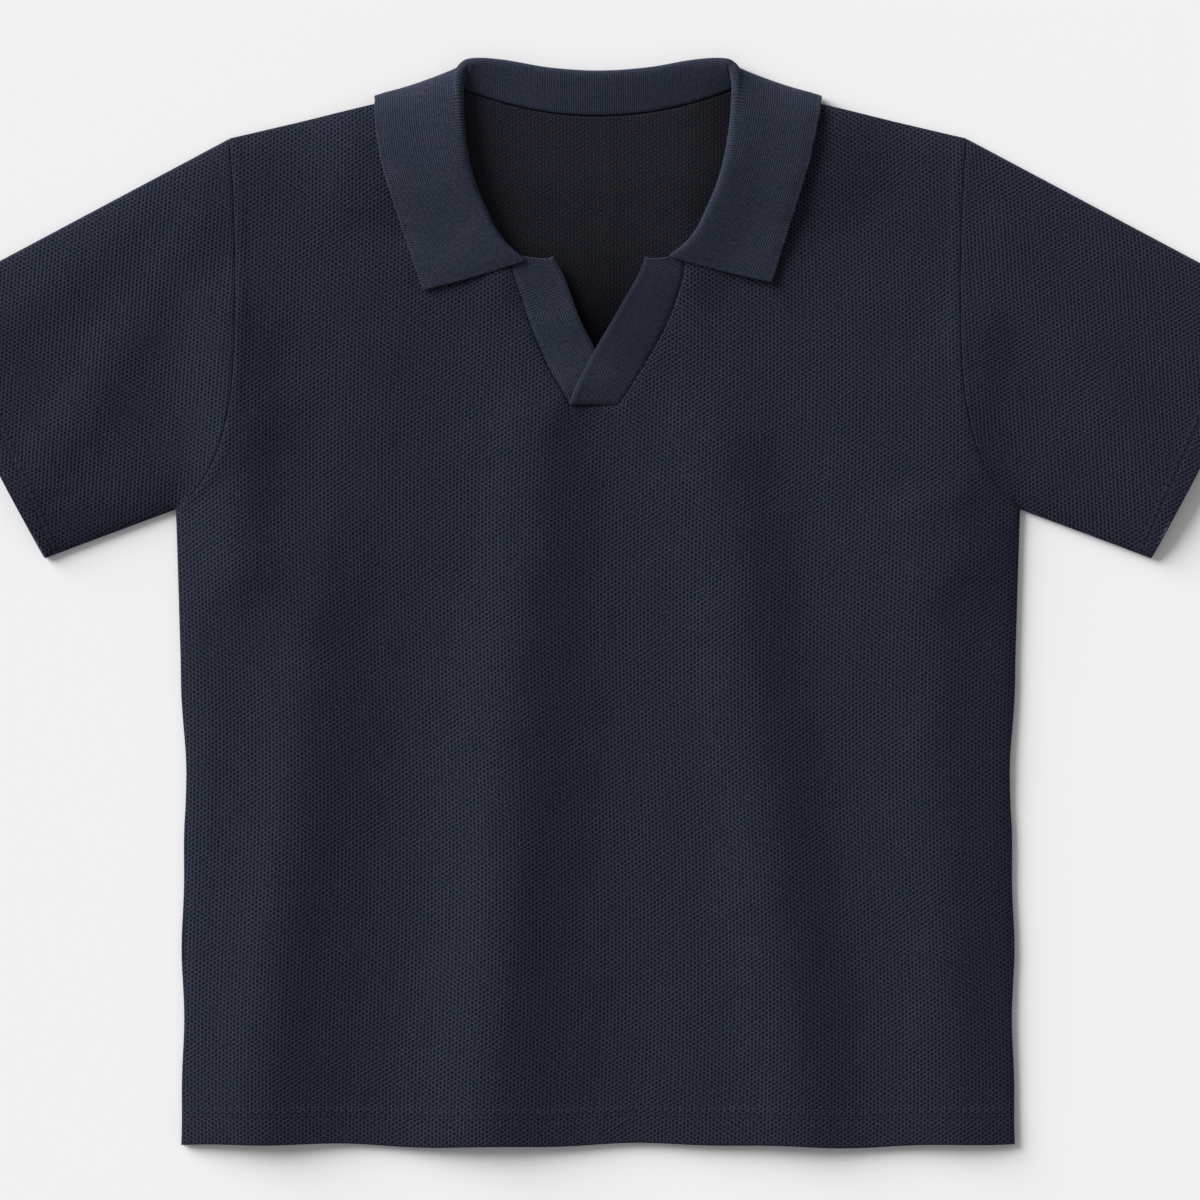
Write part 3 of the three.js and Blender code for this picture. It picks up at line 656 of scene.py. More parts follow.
def build_band(name, seam, edge, lap, materials):
    """A band from its seam to its free edge, which laps over (1) or under (-1) the other."""
    shares = np.linspace(0, 1, BAND_ROWS + 1)
    start = band_curve(seam, shares)
    end = band_curve(edge, shares)
    start[-3:, 1] += BAND_TOP_LAP * np.array([0.3, 0.7, 1.0])
    across = np.linspace(0, 1, BAND_STEPS_ACROSS + 1)
    grid = span(start, end, across)
    corner = CORNER_NUB * np.exp(-(((1 - across) / NUB_SHARE) ** 2)) + 0.4 * np.sin(across * 7)
    grid[-4:, :, 1] += np.array([0.15, 0.4, 0.75, 1.0])[:, None] * corner
    x, y = grid[..., 0], grid[..., 1]
    away = np.broadcast_to(across, x.shape)
    along = unit(np.gradient(end, axis=0))[:, None, :]
    reach = np.concatenate([[0], np.cumsum(np.linalg.norm(np.diff(end, axis=0), axis=1))])[:, None]
    offset = grid - end[:, None, :]
    from_edge = np.abs(offset[..., 0] * along[..., 1] - offset[..., 1] * along[..., 0])
    v = reach + (offset * along).sum(axis=-1)
    lapped = 1 - smooth(y, LAP_FULL, LAP_TOP)
    if lap > 0:
        lift = away * (OVER_LIFT + LAP_LIFT * lapped)
    else:
        lift = -(LAP_LIFT * away + UNDER_SINK) * lapped
    roll = BAND_ROLL * np.exp(-(((from_edge - ROLL_FROM_EDGE) / ROLL_REACH) ** 2))
    puff = BAND_PUFF * np.sin(np.pi * away) ** 2
    z = upper_middle(x, y) + lift + roll + puff - BAND_SEAM_SINK * slit_seam(x, y, BAND_SEAM_REACH)
    points = np.stack([x, y, z], axis=-1).reshape(-1, 3)
    uv = np.stack([from_edge, v], axis=-1).reshape(-1, 2)
    quads = quads_of_grid(np.ones(x.shape, bool))
    if seam == "right_seam":
        quads = quads[:, ::-1]
    thin_edge = BAND_THINNED * (1 - smooth(from_edge, 0.4, THINNED_REACH))
    thickness = (PIQUE + (BAND - PIQUE) * away - thin_edge).reshape(-1)
    sewn = (from_edge.max(axis=1, keepdims=True) - from_edge < 0.05) | (np.arange(len(x))[:, None] == 0)
    return cloth_shell(name, points, quads, uv, thickness, materials, sewn=sewn.reshape(-1))


# Collar sections for x > 0, from the free end to the centre back: lean in degrees, roll radius, the
# seam, the roll's edge, the middle of the leaf and its outer edge. A point without a height is laid
# on the front panel: the seam level with it, the leaf's two above it by the last column's clearances.
COLLAR = [
    (0, 1.15, (49.8, -110.6), (49.2, -110.9, 11.0), (81, -121.0), (113.0, -130.6), (0.5, 0.3)),
    (0, 1.35, (62.3, -108.4), (57.5, -104.5, 12.0), (88, -111.5), (117.2, -117.5), (1.2, 0.8)),
    (0, 1.7, (73.4, -101.0), (65.2, -94.5, 12.8), (94.5, -99.5), (121.4, -103.8), (1.8, 1.3)),
    (0, 2.0, (83.2, -88.3), (71.6, -80.5, 13.4), (99.6, -84.0), (126.6, -87.0), (2.2, 1.8)),
    (0, 2.4, (89.9, -71.1), (77.6, -66.0, 14.3), (104.8, -67.5), (132.0, -69.5), (2.0, 1.8)),
    (0, 3.0, (94.2, -50.8), (82.4, -49.0, 15.2), (110.2, -50.0), (137.4, -51.0), (2.0, 1.8)),
    (8, 3.0, (96.0, -31.0), (85.6, -31.0, 14.8), (114.0, -32.5), (141.0, -34.0), (2.2, 1.8)),
    (25, 3.0, (95.7, -15.0), (87.6, -14.0, 14.0), (116.2, -18.0), (143.6, -22.0), (2.4, 1.8)),
    (50, 3.0, (95.0, -6.8), (88.8, 0.0, 13.2), (117.4, -8.6), (144.8, -14.8), (2.0, 1.6)),
    (80, 3.2, (92.8, 1.4, 6.6), (88.8, 9.0, 12.4), (117.8, -0.6, 6.0), (145.6, -7.2, 5.4), (0, 0)),
    (105, 3.2, (91.2, 0.6, 5.8), (88.0, 12.6, 11.0), (117.6, 1.0, 1.6), (145.4, -7.6, 1.4), (0, 0)),
    (136, 3.2, (88.4, -1.0, 5.2), (86.0, 15.6, 9.0), (115.0, -9.0, 1.2), (143.6, -16.4, 1.2), (0, 0)),
    (158, 3.0, (80.5, -4.3, 4.7), (79.0, 17.0, 7.2), (107.0, -18.0, 1.2), (133.0, -28.0, 1.2), (0, 0)),
    (170, 2.9, (62.0, -10.4, 4.6), (62.0, 16.0, 5.8), (82.0, -18.0, 1.2), (100.0, -42.0, 1.2), (0, 0)),
    (180, 2.8, (32.0, -16.8, 4.6), (32.0, 11.0, 5.4), (36.0, -20.0, 1.2), (46.0, -48.0, 1.2), (0, 0)),
    (180, 2.8, (0.0, -19.0, 4.6), (0.0, 9.0, 5.2), (0.0, -21.0, 1.2), (0.0, -49.5, 1.2), (0, 0)),
]
COLLAR_FOLDS = [section[3] for section in COLLAR]
# Each leaf's front, right (1) and left (-1): how far its fold, middle and tip move up (+) or down,
# and its fold and tip sideways. The move fades out over the first FRONT_SECTIONS sections.
LEAF_FRONT = {
    1: dict(fold=0.0, fold_out=-2.5, mid=-0.3, tip=1.9, tip_out=0.0),
    -1: dict(fold=-2.6, fold_out=-2.5, mid=-4.6, tip=-2.8, tip_out=-2.6),
}
FRONT_SECTIONS = 6
# The left side is spread by a share, and each outer edge is moved up or down. Both fade out between
# a full and a last section.
LEFT_SPREAD, SPREAD_FULL, SPREAD_NONE = 0.028, 4, 9
EDGE_RAISED, RAISED_FULL, RAISED_NONE = {1: 1.8, -1: -0.3}, 6, 9
ROLL_ANGLES = (-90, -45, 0, 45, 90)
# Rows between two sections, columns between the points of one, and the point that is on the fold
COLLAR_ROWS = 10
COLLAR_COLUMNS = (10, 3, 3, 3, 3, 22, 26)
FOLD_INDEX = 3
TABLE_CLEAR = 0.1
LEAF_WIDTH = 60.0
# Ripples near the leaf's edge, in its plane and up and down: height, length and phase
EDGE_ZONE = 16
EDGE_SCALLOPS = ((0.16, 4.1, 0.0), (0.14, 17.3, 1.1))
EDGE_LIFTS = ((0.10, 9.7, 0.0), (0.22, 23.0, 2.0))
COLLAR_THINNED, COLLAR_THIN_REACH, COLLAR_THINNEST = 0.9, 9, 1.0


def front_height(x, y):
    return float(upper_middle(np.array([x], float), np.array([y], float))[0])


def placed(point, above):
    """A section's point with its height, which is above the front panel's where the point has none."""
    if len(point) == 3:
        return np.array(point, float)
    return np.array([*point, front_height(*point) + above])


def section_points(index, side):
    lean, radius, seam, fold, mid, edge, (clear_mid, clear_edge) = COLLAR[index]
    above = PIQUE / 2 + RIB / 2
    seam = placed(seam, 0)
    mid = placed(mid, above + clear_mid)
    raised = EDGE_RAISED[side] * (1 - float(smooth(index, RAISED_FULL, RAISED_NONE)))
    edge = placed(edge, above + clear_edge + raised)
    following = np.array(COLLAR_FOLDS[min(index + 1, len(COLLAR) - 1)], float)
    before = np.array(COLLAR_FOLDS[max(index - 1, 0)], float)
    run = unit(following - before) if index < len(COLLAR) - 1 else np.array([-1.0, 0, 0])
    lean = math.radians(lean)
    leaf_side = np.array([math.sin(lean), 0, math.cos(lean)])
    apex = unit(np.cross(leaf_side, run))
    leaf_side = np.cross(run, apex)
    centre = np.array(fold, float) - apex * radius
    rolled = []
    for degrees in ROLL_ANGLES:
        a = math.radians(degrees)
        rolled.append(centre + radius * (math.cos(a) * apex + math.sin(a) * leaf_side))
    front = LEAF_FRONT[side]
    share = max(0, 1 - index / FRONT_SECTIONS)
    wider = 0 if side > 0 else LEFT_SPREAD * (1 - float(smooth(index, SPREAD_FULL, SPREAD_NONE)))
    points = np.array([seam, *rolled, mid, edge])
    points[1:, 0] *= 1 + wider
    points[1:-2] += np.array([front["fold_out"], front["fold"], 0]) * share**3
    points[-2, 1] += front["mid"] * share
    points[-1] += np.array([front["tip_out"], front["tip"], 0]) * share
    return points * np.array([side, 1, 1])


def build_collar(materials):
    right = [section_points(i, 1) for i in range(len(COLLAR))]
    left = [section_points(i, -1) for i in range(len(COLLAR) - 1)]
    sections = np.array(left + right[::-1])
    rows = (len(sections) - 1) * COLLAR_ROWS
    rails = [catmull_rom(sections[:, k], np.linspace(0, 1, rows + 1)) for k in range(sections.shape[1])]
    rails = np.stack(rails, axis=1)
    spans = sections.shape[1] - 1
    shares = np.concatenate([(k + np.arange(n) / n) / spans for k, n in enumerate(COLLAR_COLUMNS)] + [[1.0]])
    grid = np.stack([catmull_rom(rail, shares) for rail in rails])
    grid[..., 2] = np.maximum(grid[..., 2], RIB / 2 + TABLE_CLEAR)
    fold_column = int(np.argmin(np.abs(shares - FOLD_INDEX / spans)))
    steps = np.linalg.norm(np.diff(grid, axis=1), axis=2)
    reach = np.concatenate([np.zeros((len(grid), 1)), np.cumsum(steps, axis=1)], axis=1)
    from_fold = reach - reach[:, fold_column : fold_column + 1]
    leaf_width = from_fold[:, -1:]
    u = np.where(from_fold > 0, from_fold / leaf_width * LEAF_WIDTH, from_fold)
    middle_line = grid[:, (fold_column + grid.shape[1]) // 2]
    v = np.concatenate([[0], np.cumsum(np.linalg.norm(np.diff(middle_line, axis=0), axis=1))])
    along = np.broadcast_to(v[:, None], u.shape)
    uv = np.stack([u, along], axis=-1).reshape(-1, 2)
    quads = quads_of_grid(np.ones(u.shape, bool))
    near_edge = smooth(u, LEAF_WIDTH - EDGE_ZONE, LEAF_WIDTH)
    outward = unit(np.gradient(grid, axis=1))
    grid = grid + outward * (near_edge * ripple(along, EDGE_SCALLOPS))[..., None]
    grid[..., 2] += near_edge * ripple(along, EDGE_LIFTS)
    grid[..., 2] = np.maximum(grid[..., 2], RIB / 2 + TABLE_CLEAR)
    from_end = np.minimum(along, v[-1] - along)
    to_edge = smooth(u, LEAF_WIDTH - COLLAR_THIN_REACH, LEAF_WIDTH)
    to_end = 1 - smooth(from_end, 0, COLLAR_THIN_REACH)
    thickness = np.maximum(RIB - COLLAR_THINNED * (to_edge + to_end), COLLAR_THINNEST).reshape(-1)
    points = grid.reshape(-1, 3)
    return cloth_shell("collar_cloth", points, quads[:, ::-1], uv, thickness, materials)


def ripple(along, rows):
    return sum(height * np.sin(along * 2 * np.pi / length + phase) for height, length, phase in rows)


# Stitches: short low capsules along a line on the cloth, and smaller specks along the slit. A profile
# has the place and size of each ring of points, and the caps close the first and the last ring.
STITCH_PITCH, STITCH_LENGTH, STITCH_RADIUS = 3.2, 2.5, 0.36
SPECK_PITCH, SPECK_LENGTH, SPECK_RADIUS = 2.6, 1.3, 0.30
STITCH_PROFILE = ((-1.0, 0.35), (-0.6, 1.0), (0.6, 1.0), (1.0, 0.35))
STITCH_SIDES = 6
STITCH_CAPS = [[0, 3, 2, 1], [0, 5, 4, 3], [18, 19, 20, 21], [18, 21, 22, 23]]
STITCH_LIFT, SPECK_SINK, UNDER_STITCH_Z = 0.15, 0.08, 0.12
SPECK_FROM_SEAM = 1.5


def stitch_row(line, pitch, length, radius):
    """Points and quads of one row of stitches along a polyline (x, y, z)."""
    line = np.asarray(line, float)
    total = np.linalg.norm(np.diff(line, axis=0), axis=1).sum()
    count = int(total // pitch)
    fine = resample(line, 4 * count + 1)
    centre = fine[2::4]
    along = unit(fine[3::4] - fine[1:-1:4])
    up = np.broadcast_to([0.0, 0.0, 1.0], along.shape)
    across = unit(np.cross(up, along))
    up = np.cross(along, across)
    rings = []
    for place, size in STITCH_PROFILE:
        for degrees in range(0, 360, 360 // STITCH_SIDES):
            a = math.radians(degrees)
            out = across * math.cos(a) + up * math.sin(a)
            rings.append(centre + along * place * length / 2 + out * radius * size)
    points = np.stack(rings, axis=1).reshape(-1, 3)
    faces = list(STITCH_CAPS)
    for ring in range(0, len(rings) - STITCH_SIDES, STITCH_SIDES):
        above = ring + STITCH_SIDES
        for k in range(STITCH_SIDES):
            n = (k + 1) % STITCH_SIDES
            faces.append([ring + k, ring + n, above + n, above + k])
    quads = np.array(faces)[None] + len(rings) * np.arange(len(centre))[:, None, None]
    return points, quads.reshape(-1, 4)


def stitching(name, lines, pitch, length, radius, material):
    points, quads, start = [], [], 0
    for line in lines:
        p, q = stitch_row(line, pitch, length, radius)
        points.append(p)
        quads.append(q + start)
        start += len(p)
    points, quads = np.concatenate(points), np.concatenate(quads)
    return make_mesh(name, points, quads, points[:, :2], np.zeros(len(quads), int), [material])


def hem_lines(height):
    """The two rows of stitches along the hem, where height gives z at (x, y)."""
    lines = []
    for row in HEM_STITCH_ROWS:
        x = np.linspace(-HALF_HEM + 3, HALF_HEM - 3, 300)
        y = np.full_like(x, row - BODY_LENGTH)
        lines.append(np.stack([x, y + hem_wave(x, y), height(x, y)], axis=1))
    return lines


def front_hem_height(x, y):
    return upper_middle(x, y) + hem_relief(y + BODY_LENGTH) + PIQUE / 2 + STITCH_LIFT


def back_hem_height(x, y):
    return np.full_like(x, UNDER_STITCH_Z)


def cuff_lines(side):
    head = resample(ARMHOLE_LINE, 200)
    cuff = cuff_line(200)
    lines = []
    for row in HEM_STITCH_ROWS:
        s = 1 - row / SLEEVE_LENGTH
        line = (head + (cuff - head) * s)[4:-4]
        top = sleeve_top(side * line[:, 0], line[:, 1], s) + PIQUE / 2 + STITCH_LIFT
        placed = line * np.array([side, 1])
        lines.append(np.column_stack([placed, top]))
        lines.append(np.column_stack([placed, np.full(len(line), UNDER_STITCH_Z)]))
    return lines


def band_seam_lines():
    shares = np.linspace(0.02, 0.93, 80)
    lines = []
    for column, outward in (("left_seam", -1), ("right_seam", 1)):
        line = band_curve(column, shares)
        x, y = line[:, 0] + outward * SPECK_FROM_SEAM, line[:, 1]
        lines.append(np.column_stack([x, y, upper_middle(x, y) + PIQUE / 2 - SPECK_SINK]))
    return lines


# Knit sizes: the pique's repeat, the ribs, the short lines of finished edges, and the rib's stitches
PIQUE_REPEAT = (4.68, 2.92)
RIB_PITCH = 1.55
BAND_PITCH = 1.6
EDGE_PITCH = 1.6
RIB_STITCH = 1.15
PLY_LENGTH = 0.7

# Colours and levels of light are linear
SPECULAR = 0.05
SHEEN_ROUGHNESS = 0.55
SHEEN_TINT = (0.45, 0.50, 0.68, 1.0)
YARN_PURPLE = (0.0256, 0.0260, 0.0449, 1.0)
YARN_BLUE = (0.0190, 0.0279, 0.0443, 1.0)
YARN_LIT = (0.0520, 0.0575, 0.0865, 1.0)
YARN_DEEP = (0.0016, 0.0017, 0.0050, 1.0)
REVERSE_GREY = (0.0210, 0.0205, 0.0240, 1.0)
REVERSE_BLUE = (0.0155, 0.0198, 0.0340, 1.0)
REVERSE_DEEP = (0.0062, 0.0060, 0.0078, 1.0)
REVERSE_LOOP = (0.026, 0.028, 0.037, 1.0)
# Near black of the painted shade inside the neck
UNLIT = (0.0009, 0.0009, 0.0009, 1.0)
RIB_LIGHT = (0.050, 0.049, 0.083, 1.0)
RIB_BLUE = (0.035, 0.055, 0.080, 1.0)
RIB_DEEP = (0.0045, 0.0050, 0.0095, 1.0)
THREAD_NAVY = (0.034, 0.038, 0.058, 1.0)
THREAD_PALE = (0.046, 0.052, 0.070, 1.0)
FLOOR_PALE = (0.86, 0.86, 0.86, 1.0)

# Painted shade: the reverse of the cloth darkens toward a point in the V, and toward the right side of the
# neck, standing in for the shade of the cloth above
PAINTED_SHADE_CENTRE, PAINTED_SHADE_RADIUS = (0.0, -164.0, 0.0), 84.0
PAINTED_SIDE_SHADE_FROM, PAINTED_SIDE_SHADE_TO, PAINTED_SIDE_SHADE = 46.0, 82.0, 0.42

# Where the short lines of a finished edge fade, in from the edge of the leaf and of a band, and out
# from the collar's fold
LEAF_EDGE_LINES = (3.6, 3.0)
BAND_EDGE_LINES = (3.8, 3.2)
FOLD_LINES = (10.0, 6.0)

# Light and floor
SUN_DIRECTION, SUN_STRENGTH, SUN_DEGREES = (8.5, -6.0, -3.9), 6.1, 42
SKY_STRENGTH = 0.34
FLOOR_SIZE, FLOOR_Z = 24.0, -0.0004


class Shader:
    """A small builder of node trees: numbers and sockets can be mixed."""

    def __init__(self, name):
        self.material = bpy.data.materials.new(name)
        self.material.use_nodes = True
        self.tree = self.material.node_tree
        self.tree.nodes.clear()

    def node(self, kind, **settings):
        node = self.tree.nodes.new(kind)
        for key, value in settings.items():
            setattr(node, key, value)
        return node

    def put(self, socket, value):
        if isinstance(value, bpy.types.NodeSocket):
            self.tree.links.new(value, socket)
        else:
            socket.default_value = value

    def maths(self, operation, a, b=0.0, c=0.0):
        node = self.node("ShaderNodeMath", operation=operation)
        for socket, value in zip(node.inputs, (a, b, c)):
            self.put(socket, value)
        return node.outputs[0]

    def add(self, a, b):
        return self.maths("ADD", a, b)

    def times(self, a, b):
        return self.maths("MULTIPLY", a, b)

    def step(self, value, low, high):
        node = self.node("ShaderNodeMapRange", interpolation_type="SMOOTHSTEP")
        for socket, v in zip(node.inputs, (value, low, high, 0.0, 1.0)):
            self.put(socket, v)
        return node.outputs[0]

    def wave(self, value, length):
        """1 on a crest and -1 in a trough, every length."""
        return self.maths("COSINE", self.times(value, 2 * math.pi / length))

    def lattice(self, u, v, place):
        """About 1 at the centres of a staggered lattice of round spots and -0.5 between them."""
        wide, high = PIQUE_REPEAT
        su = self.times(u, 1 / wide)
        sv = self.times(v, 1 / high)
        rising = self.wave(self.add(sv, su), 1.0)
        falling = self.wave(self.maths("SUBTRACT", sv, su), 1.0)
        columns = self.wave(u, wide / 2)
        slant = self.times(self.add(self.noise(place, 0.018, 3.0, 0.6), -0.5), 2.3)
        a = self.times(rising, self.add(1 / 3, self.times(slant, 0.42)))
        b = self.times(falling, self.add(1 / 3, self.times(slant, -0.42)))
        return self.add(self.add(a, b), self.times(columns, 0.28))

    def mix(self, factor, a, b):
        node = self.node("ShaderNodeMix", data_type="FLOAT")
        self.put(node.inputs[0], factor)
        self.put(node.inputs[2], a)
        self.put(node.inputs[3], b)
        return node.outputs[0]

    def mix_colour(self, factor, a, b):
        node = self.node("ShaderNodeMix", data_type="RGBA")
        self.put(node.inputs[0], factor)
        self.put(node.inputs[6], a)
        self.put(node.inputs[7], b)
        return node.outputs[2]

    def noise(self, vector, scale, detail=2.0, roughness=0.5):
        node = self.node("ShaderNodeTexNoise")
        self.put(node.inputs["Vector"], vector)
        self.put(node.inputs["Scale"], scale)
        self.put(node.inputs["Detail"], detail)
        self.put(node.inputs["Roughness"], roughness)
        return node.outputs["Fac"]

    def knit_place(self, jitter, jitter_scale):
        """Cloth coordinates in mm from the knit map, a little uneven as yarn is."""
        uv = self.node("ShaderNodeUVMap", uv_map="knit").outputs[0]
        split = self.node("ShaderNodeSeparateXYZ")
        self.put(split.inputs[0], uv)
        u = self.times(split.outputs[0], 1 / MM)
        v = self.times(split.outputs[1], 1 / MM)
        place = self.node("ShaderNodeCombineXYZ")
        self.put(place.inputs[0], u)
        self.put(place.inputs[1], v)
        place = place.outputs[0]
        shift = self.times(self.add(self.noise(place, jitter_scale), -0.5), jitter)
        other = self.node("ShaderNodeVectorMath", operation="ADD")
        self.put(other.inputs[0], place)
        self.put(other.inputs[1], (57.0, 23.0, 0.0))
        shift_v = self.times(self.add(self.noise(other.outputs[0], jitter_scale), -0.5), jitter)
        return self.add(u, shift), self.add(v, shift_v), place

    def finish(self, colour, height, distance, strength, roughness, sheen):
        bump = self.node("ShaderNodeBump")
        self.put(bump.inputs["Strength"], strength)
        self.put(bump.inputs["Distance"], distance)
        self.put(bump.inputs["Height"], height)
        shader = self.node("ShaderNodeBsdfPrincipled")
        self.put(shader.inputs["Base Color"], colour)
        self.put(shader.inputs["Roughness"], roughness)
        self.put(shader.inputs["Specular IOR Level"], SPECULAR)
        self.put(shader.inputs["Sheen Weight"], sheen)
        self.put(shader.inputs["Sheen Roughness"], SHEEN_ROUGHNESS)
        self.put(shader.inputs["Sheen Tint"], SHEEN_TINT)
        self.put(shader.inputs["Normal"], bump.outputs[0])
        output = self.node("ShaderNodeOutputMaterial")
        self.put(output.inputs["Surface"], shader.outputs[0])
        return self.material


def pique_material():
    """Staggered small holes in a lighter net of yarn."""
    s = Shader("pique")
    u, v, place = s.knit_place(0.95, 0.17)
    uneven = s.times(s.add(s.noise(place, 0.33, 3.0, 0.6), -0.5), 1.25)
    hole = s.step(s.add(s.lattice(u, v, place), uneven), -0.36, 0.64)
    fleck = s.noise(place, 0.95, 4.0, 0.7)
    mottle = s.noise(place, 0.11, 3.0, 0.6)
    tint = s.step(s.add(s.times(fleck, 0.6), s.times(mottle, 0.4)), 0.38, 0.62)
    yarn = s.mix_colour(tint, YARN_PURPLE, YARN_BLUE)
    shade = s.times(s.step(fleck, 0.60, 0.36), 0.58)
    depth = s.maths("MAXIMUM", s.times(hole, 0.92), shade)
    lit = s.mix_colour(s.times(s.step(fleck, 0.50, 0.70), 0.80), yarn, YARN_LIT)
    colour = s.mix_colour(depth, lit, YARN_DEEP)
    height = s.add(s.times(hole, -1.0), s.times(fleck, 0.45))
    return s.finish(colour, height, 0.0006, 0.75, 0.92, 0.12)


def reverse_material():
    """The inside of the pique: small light loops on a darker ground."""
    s = Shader("pique_reverse")
    u, v, place = s.knit_place(0.5, 0.16)
    uneven = s.times(s.add(s.noise(place, 0.4, 3.0, 0.6), -0.5), 1.6)
    wale = s.times(s.wave(u, PIQUE_REPEAT[0] / 2), 0.35)
    loop = s.step(s.add(s.add(s.lattice(u, v, place), wale), uneven), -0.1, 1.2)
    fleck = s.step(s.noise(place, 0.9, 4.0, 0.7), 0.36, 0.64)
    tint = s.step(s.noise(place, 0.3, 3.0, 0.6), 0.4, 0.6)
    bright = s.mix_colour(tint, REVERSE_GREY, REVERSE_BLUE)
    ground = s.mix_colour(fleck, REVERSE_DEEP, bright)
    colour = s.mix_colour(s.times(loop, 0.42), ground, REVERSE_LOOP)
    # Painted shade: the colour darkens to near black toward the V and toward the right side of the neck,
    # standing in for the shade of the cloth above
    offset = s.node("ShaderNodeVectorMath", operation="DISTANCE")
    s.put(offset.inputs[0], place)
    s.put(offset.inputs[1], PAINTED_SHADE_CENTRE)
    painted_v_shade = s.maths("SUBTRACT", 1.0, s.times(offset.outputs["Value"], 1 / PAINTED_SHADE_RADIUS))
    sides = s.times(s.step(u, PAINTED_SIDE_SHADE_FROM, PAINTED_SIDE_SHADE_TO), PAINTED_SIDE_SHADE)
    colour = s.mix_colour(s.maths("MAXIMUM", painted_v_shade, sides), colour, UNLIT)
    return s.finish(colour, loop, 0.0005, 0.6, 0.95, 0.03)


def rib_material(name, leaf, pitch, cross_zone=None, painted_shade_tone=1.0, painted_shade_span=None):
    """Fine rib: lines along the piece, with short lines across it at its finished edges.

    cross_zone is where along a band the short lines end. The next two arguments paint shade: a value
    below 1 darkens all of the piece, and a span darkens what lies from a first place along it to a second, by
    a share.
    """
    s = Shader(name)
    u, v, place = s.knit_place(0.35, 0.12)
    ribs = s.wave(u, pitch)
    courses = s.wave(v, EDGE_PITCH)
    if leaf:
        full, none = LEAF_EDGE_LINES
        at_edge = s.step(u, LEAF_WIDTH - full, LEAF_WIDTH - none)
        across = s.maths("MAXIMUM", at_edge, s.times(s.step(u, *FOLD_LINES), 0.8))
    else:
        across = s.step(u, *BAND_EDGE_LINES)
    if cross_zone:
        zone = s.times(s.step(v, *cross_zone), s.step(s.noise(place, 0.08), 0.25, 0.5))
        across = s.maths("MAXIMUM", across, zone)
    lines = s.mix(across, ribs, courses)
    crest = s.step(lines, -0.9, 0.7)
    other = s.mix(across, s.wave(v, RIB_STITCH), s.wave(u, RIB_STITCH))
    stitch = s.step(other, -1.0, 1.0)
    fleck = s.noise(place, 1.0, 4.0, 0.7)
    mottle = s.noise(place, 0.05, 2.0, 0.5)
    tint = s.step(s.add(s.times(fleck, 0.6), s.times(mottle, 0.4)), 0.35, 0.65)
    light = s.mix_colour(tint, RIB_LIGHT, RIB_BLUE)
    depth = s.step(s.noise(place, 0.35, 3.0, 0.6), 0.34, 0.66)
    furrow = s.times(s.maths("SUBTRACT", 1.0, crest), s.add(0.32, s.times(depth, 0.60)))
    colour = s.mix_colour(furrow, light, RIB_DEEP)
    colour = s.mix_colour(s.times(s.maths("SUBTRACT", 1.0, stitch), 0.30), colour, RIB_DEEP)
    colour = s.mix_colour(s.times(s.step(fleck, 0.62, 0.36), 0.52), colour, RIB_DEEP)
    # Painted shade: the whole piece darkened by a share
    if painted_shade_tone != 1.0:
        colour = s.mix_colour(1.0 - painted_shade_tone, colour, RIB_DEEP)
    # Painted shade: darker from a first place along the piece to a second, by a share
    if painted_shade_span:
        start, full, amount = painted_shade_span
        colour = s.mix_colour(s.times(s.step(v, start, full), amount), colour, RIB_DEEP)
    height = s.add(s.add(s.times(crest, 0.8), s.times(stitch, 0.25)), s.times(fleck, 0.5))
    return s.finish(colour, height, 0.0005, 0.6, 0.92, 0.14)


def thread_material(name, colour):
    """Sewing thread: two plies, so light and dark alternate along a stitch."""
    s = Shader(name)
    u, v, place = s.knit_place(0.1, 0.5)
    ply = s.step(s.wave(s.add(u, v), PLY_LENGTH), -0.8, 0.8)
    fleck = s.noise(place, 1.6, 2.0, 0.5)
    dark = tuple(0.35 * c for c in colour[:3]) + (1.0,)
    shade = s.mix_colour(s.add(s.times(ply, 0.6), s.times(fleck, 0.4)), dark, colour)
    return s.finish(shade, ply, 0.0002, 0.5, 0.85, 0.1)


def floor_material():
    s = Shader("floor")
    shader = s.node("ShaderNodeBsdfPrincipled")
    s.put(shader.inputs["Base Color"], FLOOR_PALE)
    s.put(shader.inputs["Roughness"], 0.9)
    output = s.node("ShaderNodeOutputMaterial")
    s.put(output.inputs["Surface"], shader.outputs[0])
    return s.material


def make_floor():
    bpy.ops.mesh.primitive_plane_add(size=FLOOR_SIZE, location=(0, 0, FLOOR_Z))
    floor = bpy.context.object
    floor.name = "floor"
    floor.data.materials.append(floor_material())


def make_sun():
    """A large soft light a long way off, so that it falls evenly on the whole shirt."""
    data = bpy.data.lights.new("key", "SUN")
    data.energy = SUN_STRENGTH
    data.angle = math.radians(SUN_DEGREES)
    light = bpy.data.objects.new("key", data)
    light.location = -2 * Vector(SUN_DIRECTION).normalized()
    light.rotation_euler = Vector(SUN_DIRECTION).to_track_quat("-Z", "Y").to_euler()
    bpy.context.scene.collection.objects.link(light)


def make_world():
    world = bpy.data.worlds.new("world")
    world.use_nodes = True
    background = world.node_tree.nodes["Background"]
    background.inputs["Color"].default_value = (1, 1, 1, 1)
    background.inputs["Strength"].default_value = SKY_STRENGTH
    bpy.context.scene.world = world


bpy.context.scene.view_settings.view_transform = "Standard"
make_world()
make_floor()
make_sun()

